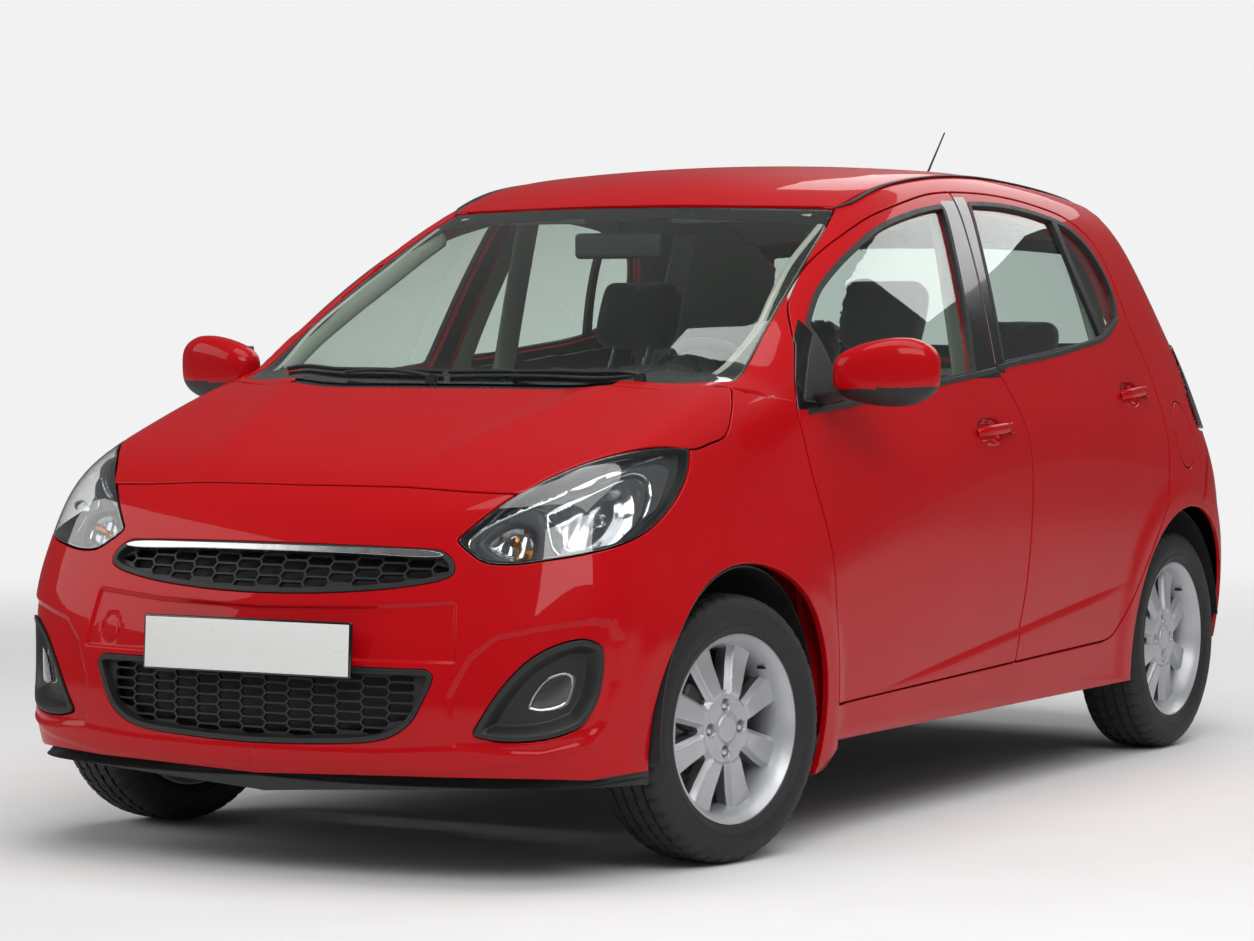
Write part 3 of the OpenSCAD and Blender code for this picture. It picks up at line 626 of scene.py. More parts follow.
@dataclass
class Sheet:
    """A closed panel that follows a surface between two depths."""

    chart: Chart
    keep: Sequence[np.ndarray]
    cut: Sequence[np.ndarray] = ()
    grid: np.ndarray | None = None
    outer: Height = 0.0
    inner: Height = 12.0
    gap: float = 0.0
    roll: float = 2.5
    spacing: float = 22.0
    regions: Sequence[tuple[np.ndarray, int]] = ()
    reliefs: Sequence[Relief] = ()
    wall_slot: int = 0
    inner_slot: int = 0
    base: BodyField | FlatFace = BODY

    def at(self, value: Height, p: np.ndarray) -> np.ndarray:
        """A depth, given as a number or as a function of the point."""
        return np.full(len(p), float(value)) if isinstance(value, (int, float)) else value(p)

    def rise(self, p: np.ndarray) -> np.ndarray:
        """Sum of the reliefs less the outer depth."""
        total = -self.at(self.outer, p)
        for relief in self.reliefs:
            total = total + relief.rise(p)
        return total

    def surface(self, p: np.ndarray) -> tuple[np.ndarray, np.ndarray, np.ndarray]:
        """Outer points, their true normals and the body normals at body points p."""
        n = self.base.normal(p)
        r = self.rise(p)
        slope = np.zeros_like(p)
        if self.reliefs or not isinstance(self.outer, (int, float)):
            for i in range(3):
                d = np.zeros(3)
                d[i] = 0.8
                slope[:, i] = (self.rise(p + d) - self.rise(p - d)) / 1.6
            slope = slope - (slope * n).sum(1)[:, None] * n
        return p + n * r[:, None], unit(n - slope), n

    def laid(self, loop: np.ndarray, by: float) -> np.ndarray:
        """Map coordinates of a loop after moving it outwards; a flat loop is used as it is."""
        flat = loop if loop.shape[1] == 2 else BODY.lay(self.chart, grown(loop, by) if by else loop)
        ahead = np.roll(flat, -1, axis=0)
        area = (flat[:, 0] * ahead[:, 1] - flat[:, 1] * ahead[:, 0]).sum()
        return flat if area > 0 else flat[::-1]

    def solid(self) -> Solid:
        """Fills the outline and closes the panel.

        Returns:
            The arrays of the closed mesh.
        """
        inset = self.gap + self.roll
        loops = [self.laid(k, -inset) for k in self.keep]
        loops += [self.laid(c, inset) for c in self.cut]
        loops += [self.laid(r, 0) for r, _ in self.regions]
        coords = np.concatenate(loops)
        faces, start = [], 0
        for loop in loops:
            faces.append(list(range(start, start + len(loop))))
            start += len(loop)
        grid = self.grid
        if grid is None:
            low, high = coords.min(0), coords.max(0)
            us = np.arange(low[0], high[0], self.spacing)
            vs = np.arange(low[1], high[1], self.spacing)
            grid = np.stack(np.meshgrid(us, vs), -1).reshape(-1, 2)
        elif grid.shape[1] == 3:
            grid = BODY.lay(self.chart, grid)
        for relief in self.reliefs:
            grid = thinned(grid, BODY.lay(self.chart, relief.rows()), relief.edge * 0.3)
        near = np.min(
            [np.abs(inside_distance(grid, loop)) for loop in loops], axis=0
        )
        grid = grid[near > 3.5]
        coords = np.concatenate([coords, grid])
        found = geometry.delaunay_2d_cdt([Vector(c) for c in coords.tolist()], [], faces, 0, 1e-3, True)
        nk, nc = len(self.keep), len(self.cut)
        kept, slots = [], []
        for tri, where in zip(found[2], found[5]):
            w = set(where)
            if not w & set(range(nk)) or w & set(range(nk, nk + nc)):
                continue
            slot = 0
            for i, (_, s) in enumerate(self.regions):
                if nk + nc + i in w:
                    slot = s
            kept.append(tri)
            slots.append(slot)
        used = sorted({i for t in kept for i in t})
        index = {old: new for new, old in enumerate(used)}
        uv = np.array([found[0][i] for i in used], float)
        tris = [[index[i] for i in t] for t in kept]
        base = self.base.lift(self.chart, uv)
        out, normals, lean = self.surface(base)
        back = out - lean * (self.at(self.inner, base) - self.at(self.outer, base))[:, None]
        solid = Solid()
        first = solid.add(out)
        for t, s in zip(tris, slots):
            solid.face([first + i for i in t], [normals[i] for i in t], s)
        second = solid.add(back)
        for t in tris:
            solid.face([second + i for i in t[::-1]], [-lean[i] for i in t[::-1]], self.inner_slot)
        edges = {}
        for t, s in zip(tris, slots):
            for a, b in zip(t, t[1:] + t[:1]):
                edges[(a, b)] = s
        ahead: dict[int, list[int]] = {}
        for a, b in edges:
            if (b, a) not in edges:
                ahead.setdefault(a, []).append(b)
        while ahead:
            begin = next(iter(ahead))
            ring = [begin]
            while True:
                nexts = ahead[ring[-1]]
                after = nexts.pop()
                if not nexts:
                    del ahead[ring[-1]]
                if after == begin:
                    break
                ring.append(after)
            self.close_edge(solid, ring, out, back, normals, edges)
        return solid

    def close_edge(
        self,
        solid: Solid,
        ring: list[int],
        out: np.ndarray,
        back: np.ndarray,
        normals: np.ndarray,
        edges: dict[tuple[int, int], int],
    ) -> None:
        """Rolls one boundary over and joins it to the inner face.

        Args:
            solid: The mesh under construction.
            ring: The boundary, interior on its left.
            out: Outer points.
            back: Inner points.
            normals: Outer normals.
            edges: Slot of each directed edge.
        """
        p, n = out[ring], normals[ring]
        away = outward(p, n)
        flat = unit(away)
        count = len(ring)
        rows = [np.asarray(ring)]
        turns = [n]
        if self.roll > 0:
            for angle in (0.55, 1.05, math.pi / 2):
                s, c = math.sin(angle), math.cos(angle)
                ringed = p + away * self.roll * s - n * self.roll * (1 - c)
                rows.append(solid.add(ringed) + np.arange(count))
                turns.append(unit(n * c + flat * s))
        offset = len(out)
        if self.roll > 0:
            inner = back[ring] + away * self.roll
            rows.append(solid.add(inner) + np.arange(count))
        else:
            rows.append(np.asarray(ring) + offset)
        turns.append(flat)
        for k in range(len(rows) - 1):
            a, b, ta, tb = rows[k], rows[k + 1], turns[k], turns[k + 1]
            if k == len(rows) - 2:
                ta = flat
            for i in range(count):
                j = (i + 1) % count
                slot = edges.get((ring[i], ring[j]), 0) if k < len(rows) - 2 else self.wall_slot
                solid.face([a[i], b[i], b[j], a[j]], [ta[i], tb[i], tb[j], ta[j]], slot)
        if self.roll > 0:
            last = rows[-1]
            for i in range(count):
                j = (i + 1) % count
                down = -n[i]
                solid.face(
                    [last[i], ring[i] + offset, ring[j] + offset, last[j]], [down] * 4, self.inner_slot
                )


# ---------------------------------------------------------------- finishes


def linear(code: str) -> tuple[float, float, float, float]:
    """Linear colour with alpha one from an sRGB hex code."""
    parts = [int(code[i : i + 2], 16) / 255 for i in (1, 3, 5)]
    r, g, b = [c / 12.92 if c <= 0.04045 else ((c + 0.055) / 1.055) ** 2.4 for c in parts]
    return (r, g, b, 1.0)


def add(
    tree: bpy.types.NodeTree, kind: str, settings: dict | None = None, links: dict | None = None
) -> bpy.types.Node:
    """Adds one node.

    Args:
        tree: The tree it joins.
        kind: Its type.
        settings: Socket values and properties by name.
        links: Output sockets by input name.

    Returns:
        The node.
    """
    node = tree.nodes.new(kind)
    for key, value in (settings or {}).items():
        if isinstance(key, int) or key in node.inputs:
            node.inputs[key].default_value = value
        else:
            setattr(node, key, value)
    for key, source in (links or {}).items():
        tree.links.new(source, node.inputs[key])
    return node


class Grain(Enum):
    """Small surface patterns."""

    PEEL = "soft ripple of sprayed lacquer"
    HIDE = "pebbled grain of moulded plastic"
    WEAVE = "crossed threads"
    BRUSHED = "fine lines along X"
    CAST = "rough sand skin"
    FLUTES = "upright ribs"
    PLAIN = "none"


@dataclass(frozen=True)
class Finish:
    """An opaque finish with its mottling and its grain.

    Lengths are in millimetres.  The second colour shows in soft patches of patch_mm.
    """

    name: str
    colour: str
    shade: str
    roughness: float
    spread: float = 0.05
    patch_mm: float = 90.0
    grain: Grain = Grain.PLAIN
    grain_mm: float = 1.0
    grain_depth: float = 0.1
    metallic: float = 0.0
    coat: float = 0.0
    coat_roughness: float = 0.03
    sheen: float = 0.0
    glow: float = 0.0
    specular: float = 0.5

    def make(self) -> bpy.types.Material:
        """Builds the material.

        Returns:
            The material.
        """
        finish = bpy.data.materials.new(self.name)
        finish.use_nodes = True
        tree = finish.node_tree
        tree.nodes.clear()
        at = add(tree, "ShaderNodeTexCoord").outputs["Object"]
        patch = add(
            tree, "ShaderNodeTexNoise", {"Scale": 1000 / self.patch_mm, "Detail": 3.0}, {"Vector": at}
        )
        blend = add(tree, "ShaderNodeMix", {"data_type": "RGBA"}, {0: patch.outputs["Fac"]})
        blend.inputs[6].default_value = linear(self.colour)
        blend.inputs[7].default_value = linear(self.shade)
        rough = add(
            tree,
            "ShaderNodeMapRange",
            {
                "From Min": 0.3,
                "From Max": 0.7,
                "To Min": max(self.roughness - self.spread, 0.01),
                "To Max": self.roughness + self.spread,
            },
            {"Value": patch.outputs["Fac"]},
        )
        surface = add(
            tree,
            "ShaderNodeBsdfPrincipled",
            {
                "Metallic": self.metallic,
                "Coat Weight": self.coat,
                "Coat Roughness": self.coat_roughness,
                "Sheen Weight": self.sheen,
                "Specular IOR Level": self.specular,
                "Emission Strength": self.glow,
                "Emission Color": linear(self.colour),
            },
            {"Base Color": blend.outputs[2], "Roughness": rough.outputs[0]},
        )
        height = self.pattern(tree, at)
        if height is not None:
            bump = add(
                tree, "ShaderNodeBump", {"Strength": 1.0, "Distance": self.grain_depth * MM}, {"Height": height}
            )
            tree.links.new(bump.outputs[0], surface.inputs["Normal"])
            if self.coat:
                tree.links.new(bump.outputs[0], surface.inputs["Coat Normal"])
        add(tree, "ShaderNodeOutputMaterial", {}, {"Surface": surface.outputs[0]})
        return finish

    def pattern(self, tree: bpy.types.NodeTree, at: bpy.types.NodeSocket) -> bpy.types.NodeSocket | None:
        """Height of the grain."""
        scale = 1000 / self.grain_mm
        if self.grain in (Grain.PEEL, Grain.CAST):
            detail = 0.0 if self.grain is Grain.PEEL else 5.0
            return add(tree, "ShaderNodeTexNoise", {"Scale": scale, "Detail": detail}, {"Vector": at}).outputs["Fac"]
        if self.grain is Grain.HIDE:
            cells = add(tree, "ShaderNodeTexVoronoi", {"feature": "SMOOTH_F1", "Scale": scale}, {"Vector": at})
            return cells.outputs["Distance"]
        if self.grain is Grain.FLUTES:
            return add(
                tree, "ShaderNodeTexWave", {"bands_direction": "X", "Scale": scale / 3.14 / 2}, {"Vector": at}
            ).outputs["Fac"]
        if self.grain is Grain.BRUSHED:
            placed = add(tree, "ShaderNodeMapping", {"Scale": (0.02, 1.0, 1.0)}, {"Vector": at})
            lines = add(tree, "ShaderNodeTexNoise", {"Scale": scale, "Detail": 2.0}, {"Vector": placed.outputs[0]})
            return lines.outputs["Fac"]
        if self.grain is Grain.WEAVE:
            total = None
            for axis in ("X", "Y", "Z"):
                wave = add(
                    tree,
                    "ShaderNodeTexWave",
                    {"bands_direction": axis, "Scale": scale / 3.14, "Distortion": 0.4, "Detail": 1.0},
                    {"Vector": at},
                ).outputs["Fac"]
                total = wave if total is None else add(
                    tree, "ShaderNodeMath", {"operation": "MULTIPLY"}, {0: total, 1: wave}
                ).outputs[0]
            return total
        return None


@dataclass(frozen=True)
class ClearFinish:
    """Glass or clear plastic that lets its shadow through as tinted light."""

    name: str
    tint: str
    shadow: str
    roughness: float = 0.0
    ior: float = 1.5
    ripple_mm: float = 400.0
    ripple_depth: float = 0.02
    fluted: bool = False

    def make(self) -> bpy.types.Material:
        """Builds the material.

        Returns:
            The material.
        """
        finish = bpy.data.materials.new(self.name)
        finish.use_nodes = True
        tree = finish.node_tree
        tree.nodes.clear()
        at = add(tree, "ShaderNodeTexCoord").outputs["Object"]
        if self.fluted:
            wave = add(
                tree, "ShaderNodeTexWave", {"bands_direction": "Z", "Scale": 1000 / self.ripple_mm / 3.14},
                {"Vector": at},
            )
            height = wave.outputs["Fac"]
        else:
            height = add(
                tree, "ShaderNodeTexNoise", {"Scale": 1000 / self.ripple_mm, "Detail": 1.0}, {"Vector": at}
            ).outputs["Fac"]
        bump = add(
            tree, "ShaderNodeBump", {"Strength": 1.0, "Distance": self.ripple_depth * MM}, {"Height": height}
        )
        surface = add(
            tree,
            "ShaderNodeBsdfPrincipled",
            {
                "Base Color": linear(self.tint),
                "Roughness": self.roughness,
                "IOR": self.ior,
                "Transmission Weight": 1.0,
            },
            {"Normal": bump.outputs[0]},
        )
        passing = add(tree, "ShaderNodeBsdfTransparent", {"Color": linear(self.shadow)})
        path = add(tree, "ShaderNodeLightPath")
        both = add(
            tree,
            "ShaderNodeMixShader",
            {},
            {0: path.outputs["Is Shadow Ray"], 1: surface.outputs[0], 2: passing.outputs[0]},
        )
        add(tree, "ShaderNodeOutputMaterial", {}, {"Surface": both.outputs[0]})
        return finish


class Finishes:
    """Every finish of the car, made once and found by name."""

    # Sprayed solid red under clear lacquer: one even deep red, sharp reflections, a soft ripple.
    red = Finish(
        "sprayed_red_lacquer", "#B90610", "#AE050E", 0.45, 0.03, 350, Grain.PEEL, 9.0, 0.010,
        coat=0.4, coat_roughness=0.02, specular=0.05,
    )
    # Moulded black polypropylene: dull, pebbled, slightly greyer in patches.
    black = Finish("moulded_black_polypropylene", "#18191A", "#232425", 0.52, 0.06, 60, Grain.HIDE, 1.6, 0.10)
    # Piano black ABS on the pillars and grille frames: glossy with faint dust.
    gloss = Finish(
        "gloss_black_abs", "#0B0B0C", "#111113", 0.16, 0.05, 120, Grain.PEEL, 12.0, 0.01, coat=0.6,
    )
    # Black enamel fired on the edge of the glass.
    frit = Finish("fired_black_enamel", "#060607", "#0A0A0B", 0.28, 0.04, 80, Grain.PEEL, 20.0, 0.01)
    # Extruded EPDM seals: dark, soft, nearly matt.
    seal = Finish("extruded_black_rubber", "#131314", "#1C1C1D", 0.62, 0.08, 40, Grain.CAST, 1.2, 0.05)
    # Tyre rubber: dark warm grey, matt, dusty in patches.
    rubber = Finish("moulded_tyre_rubber", "#1B1B1C", "#262625", 0.66, 0.07, 50, Grain.CAST, 1.5, 0.10)
    # Cast aluminium wheels under silver lacquer: fine sparkle, satin highlight.
    silver = Finish(
        "silver_lacquered_aluminium", "#BFC1C4", "#B4B6BA", 0.42, 0.04, 40, Grain.CAST, 0.7, 0.02,
        metallic=0.55, coat=0.35, coat_roughness=0.15,
    )
    # Satin chrome strip of the grille.
    satin = Finish("satin_chromed_abs", "#C9CBCD", "#BFC1C4", 0.24, 0.04, 30, Grain.PEEL, 3.0, 0.01, metallic=1.0)
    # Vacuum-metallised reflectors: near mirror.
    mirror = Finish("metallised_reflector", "#C4C7CA", "#BABDC0", 0.10, 0.03, 25, Grain.PEEL, 6.0, 0.05, metallic=1.0)
    # The same metal pressed into upright flutes every 12 mm.
    flutes = Finish(
        "fluted_metallised_reflector", "#A9ACB0", "#989CA0", 0.18, 0.04, 25, Grain.FLUTES, 12.0, 1.6, metallic=1.0,
    )
    # Charcoal moulded polycarbonate inside the headlamps.
    charcoal = Finish("charcoal_polycarbonate", "#2B2C2F", "#35363A", 0.42, 0.06, 25, Grain.CAST, 2.5, 0.05)
    # Turned brake discs: bright ring marks with a brown bloom.
    disc = Finish("turned_grey_iron", "#8E8B87", "#6E655C", 0.36, 0.08, 30, Grain.BRUSHED, 2.0, 0.05, metallic=1.0)
    # Raw cast calipers, knuckles and engine.
    cast = Finish("sand_cast_iron", "#5B5C5D", "#4B4742", 0.58, 0.1, 35, Grain.CAST, 2.5, 0.3, metallic=0.9)
    # Black-painted pressed steel underneath, dusty.
    chassis = Finish("painted_pressed_steel", "#1E1F20", "#2D2B28", 0.55, 0.1, 140, Grain.CAST, 4.0, 0.1)
    # Stainless exhaust with heat bloom.
    exhaust = Finish(
        "drawn_stainless_steel", "#A8A29A", "#8A7A68", 0.34, 0.08, 70, Grain.BRUSHED, 2.0, 0.05, metallic=1.0,
    )
    # Blow-moulded fuel tank.
    tank = Finish("blow_moulded_polyethylene", "#1A1B1C", "#242526", 0.48, 0.06, 90, Grain.CAST, 3.0, 0.1)
    # Moulded cabin plastic, dark grey with leather grain.
    cabin = Finish("grained_dark_cabin_plastic", "#2A2B2D", "#323335", 0.56, 0.05, 45, Grain.HIDE, 1.8, 0.12)
    # Light grey pillar and roof trims.
    pale = Finish("pale_grey_cabin_plastic", "#B8B6B0", "#ADABA5", 0.6, 0.05, 60, Grain.HIDE, 1.5, 0.08)
    # Needled headlining, pale and soft.
    lining = Finish("needled_pale_headlining", "#BDBAB3", "#B2AFA8", 0.85, 0.04, 25, Grain.CAST, 1.4, 0.25, sheen=0.3)
    # Woven seat cloth, dark grey: threads every 2.4 mm, drawn coarse enough to show.
    cloth = Finish("woven_dark_seat_cloth", "#26272A", "#33343A", 0.88, 0.04, 12, Grain.WEAVE, 2.4, 0.35, sheen=0.5)
    # Leather-like steering wheel rim.
    grip = Finish("grained_grip_leather", "#161617", "#1E1E1F", 0.45, 0.05, 30, Grain.HIDE, 2.0, 0.12)
    # Woven floor carpet.
    carpet = Finish("tufted_dark_carpet", "#1D1D1F", "#292A2C", 0.92, 0.04, 8, Grain.CAST, 1.5, 0.8, sheen=0.4)
    # Reflective plate sheet, blank white.
    plate = Finish("white_plate_sheet", "#E9EAE8", "#E2E3E1", 0.30, 0.04, 80, Grain.PEEL, 5.0, 0.01, coat=0.4)
    # Screen-printed dials.
    dial = Finish("printed_dial_face", "#101114", "#16171B", 0.35, 0.05, 20, Grain.PEEL, 4.0, 0.01)
    # Window glass: nearly clear with a trace of green.
    glass = ClearFinish("float_glass", "#E6F0EA", "#DCEAE2")
    # Darker glass behind.
    privacy = ClearFinish("tinted_float_glass", "#D2DEDA", "#C4D2CC")
    # Clear hard-coated lamp lens.
    lens = ClearFinish("clear_polycarbonate", "#FAFBFB", "#F2F4F4", ior=1.45)
    # Red tail lens, fluted inside.
    ruby = ClearFinish("red_acrylic", "#D2101C", "#C00C18", 0.02, ripple_mm=7.0, ripple_depth=0.5, fluted=True)
    # Amber bulb glass.
    amber = ClearFinish("amber_glass", "#F09A28", "#E08818", 0.05)

    def __init__(self) -> None:
        """Makes every material."""
        self.made = {
            key: value.make()
            for key, value in vars(Finishes).items()
            if isinstance(value, (Finish, ClearFinish))
        }

    def __getitem__(self, key: str) -> bpy.types.Material:
        """The material of a finish."""
        return self.made[key]


# ---------------------------------------------------------------- studio


@dataclass
class Studio:
    """Floor, lights, background and camera."""

    lens: float = 115.1
    eye: tuple[float, float, float] = (4.832, -8.696, 1.242)
    yaw: float = 29.8144
    pitch: float = 2.6732
    roll: float = -0.2703
    floor_size: float = 60.0

    def build(self) -> None:
        """Makes the stage."""
        self.floor()
        self.background()
        self.camera()
        for name, place, aim, size, power in (
            ("key", (4.5, -5.5, 6.0), (0, -0.3, 0.6), (7.0, 3.5), 330),
            ("fill", (-6.5, -4.5, 4.5), (0, 0, 0.7), (6.0, 4.0), 150),
            ("back", (0.5, 7.0, 5.0), (0, 0.5, 0.8), (8.0, 3.0), 200),
            ("roof", (1.2, -0.8, 6.5), (1.2, -0.8, 0), (6.0, 4.5), 220),
        ):
            self.softbox(name, place, aim, size, power)

    def floor(self) -> None:
        """Lays the pale floor."""
        bpy.ops.mesh.primitive_plane_add(size=self.floor_size, location=(0, 0, 0))
        floor = bpy.context.object
        floor.name = "studio_floor"
        paper = bpy.data.materials.new("matt_paper_floor")
        paper.use_nodes = True
        tree = paper.node_tree
        tree.nodes.clear()
        at = add(tree, "ShaderNodeTexCoord").outputs["Object"]
        noise = add(tree, "ShaderNodeTexNoise", {"Scale": 3.0, "Detail": 6.0}, {"Vector": at})
        tone = add(tree, "ShaderNodeMix", {"data_type": "RGBA"}, {0: noise.outputs["Fac"]})
        tone.inputs[6].default_value = linear("#E4E4E4")
        tone.inputs[7].default_value = linear("#EBEBEB")
        surface = add(
            tree, "ShaderNodeBsdfPrincipled", {"Roughness": 0.9, "Specular IOR Level": 0.1},
            {"Base Color": tone.outputs[2]},
        )
        far = add(tree, "ShaderNodeVectorMath", {"operation": "LENGTH"}, {0: at})
        fade = add(
            tree, "ShaderNodeMapRange", {"From Min": 3.4, "From Max": 8.0, "interpolation_type": "SMOOTHSTEP"},
            {"Value": far.outputs["Value"]},
        )
        path = add(tree, "ShaderNodeLightPath")
        bounces = add(
            tree, "ShaderNodeMath", {"operation": "ADD"},
            {0: path.outputs["Diffuse Depth"], 1: path.outputs["Glossy Depth"]},
        )
        straight = add(tree, "ShaderNodeMath", {"operation": "LESS_THAN", 1: 0.5}, {0: bounces.outputs[0]})
        through = add(
            tree, "ShaderNodeMath", {"operation": "MULTIPLY"},
            {0: path.outputs["Is Transmission Ray"], 1: straight.outputs[0]},
        )
        seen = add(
            tree, "ShaderNodeMath", {"operation": "MAXIMUM"},
            {0: path.outputs["Is Camera Ray"], 1: through.outputs[0]},
        )
        share = add(tree, "ShaderNodeMath", {"operation": "MULTIPLY"}, {0: fade.outputs[0], 1: seen.outputs[0]})
        air = add(tree, "ShaderNodeEmission", {"Color": linear("#F2F2F2"), "Strength": 1.0})
        both = add(
            tree, "ShaderNodeMixShader", {}, {0: share.outputs[0], 1: surface.outputs[0], 2: air.outputs[0]}
        )
        add(tree, "ShaderNodeOutputMaterial", {}, {"Surface": both.outputs[0]})
        floor.data.materials.append(paper)

    def background(self) -> None:
        """Sets a plain pale world: white where it is seen, dimmer where it lights."""
        world = bpy.data.worlds.new("studio_air")
        bpy.context.scene.world = world
        world.use_nodes = True
        tree = world.node_tree
        tree.nodes.clear()
        path = add(tree, "ShaderNodeLightPath")
        bounces = add(
            tree, "ShaderNodeMath", {"operation": "ADD"},
            {0: path.outputs["Diffuse Depth"], 1: path.outputs["Glossy Depth"]},
        )
        straight = add(tree, "ShaderNodeMath", {"operation": "LESS_THAN", 1: 0.5}, {0: bounces.outputs[0]})
        through = add(
            tree, "ShaderNodeMath", {"operation": "MULTIPLY"},
            {0: path.outputs["Is Transmission Ray"], 1: straight.outputs[0]},
        )
        seen = add(
            tree, "ShaderNodeMath", {"operation": "MAXIMUM"},
            {0: path.outputs["Is Camera Ray"], 1: through.outputs[0]},
        )
        power = add(tree, "ShaderNodeMix", {}, {0: seen.outputs[0]})
        mirrored = add(
            tree, "ShaderNodeMath", {"operation": "MULTIPLY_ADD", 1: -0.14, 2: 0.30},
            {0: path.outputs["Is Glossy Ray"]},
        )
        tree.links.new(mirrored.outputs[0], power.inputs[2])
        power.inputs[3].default_value = 1.0
        glow = add(
            tree, "ShaderNodeBackground", {"Color": linear("#F2F2F2")}, {"Strength": power.outputs[0]}
        )
        add(tree, "ShaderNodeOutputWorld", {}, {"Surface": glow.outputs[0]})

    def camera(self) -> None:
        """Places the camera."""
        data = bpy.data.cameras.new("camera")
        data.lens = self.lens
        data.sensor_width = 36.0
        data.clip_end = 200
        camera = bpy.data.objects.new("camera", data)
        bpy.context.scene.collection.objects.link(camera)
        yaw, pitch, roll = (math.radians(a) for a in (self.yaw, self.pitch, self.roll))
        ahead = Vector((-math.sin(yaw) * math.cos(pitch), math.cos(yaw) * math.cos(pitch), -math.sin(pitch)))
        right = Vector((math.cos(yaw), math.sin(yaw), 0))
        up = right.cross(ahead)
        side = right * math.cos(roll) + up * math.sin(roll)
        top = up * math.cos(roll) - right * math.sin(roll)
        camera.matrix_world = Matrix.Translation(self.eye) @ Matrix((side, top, -ahead)).transposed().to_4x4()
        bpy.context.scene.camera = camera

    def softbox(
        self, name: str, place: Sequence[float], aim: Sequence[float], size: Sequence[float], power: float
    ) -> None:
        """Hangs one soft light.

        Args:
            name: Its name.
            place: Where it hangs.
            aim: What it points at.
            size: Its width and height.
            power: Its power in watts.
        """
        data = bpy.data.lights.new(name, "AREA")
        data.shape = "RECTANGLE"
        data.size, data.size_y = size
        data.energy = power
        lamp = bpy.data.objects.new(name, data)
        lamp.location = place
        lamp.rotation_euler = (Vector(aim) - Vector(place)).to_track_quat("-Z", "Y").to_euler()
        bpy.context.scene.collection.objects.link(lamp)


# ---------------------------------------------------------------- body lines


def along(chart: Chart, source: Chart, points: Points) -> list[list[float]]:
    """Map points of one chart moved to another."""
    laid = np.asarray(points, float)
    return BODY.lay(chart, BODY.lift(source, laid)).tolist()


def chain(loop: np.ndarray, low: Callable[[np.ndarray], np.ndarray]) -> np.ndarray:
    """The longest unbroken run of a loop's points that pass a test."""
    keep = low(loop)
    if keep.all():
        return loop
    start = int(np.argmin(keep))
    turned = np.roll(loop, -start, axis=0)
    keep = np.roll(keep, -start)
    best, run = (0, 0), 0
    for i, good in enumerate(keep.tolist() + [False]):
        if not good:
            if i - run > best[1] - best[0]:
                best = (run, i)
            run = i + 1
    return turned[best[0] : best[1]]


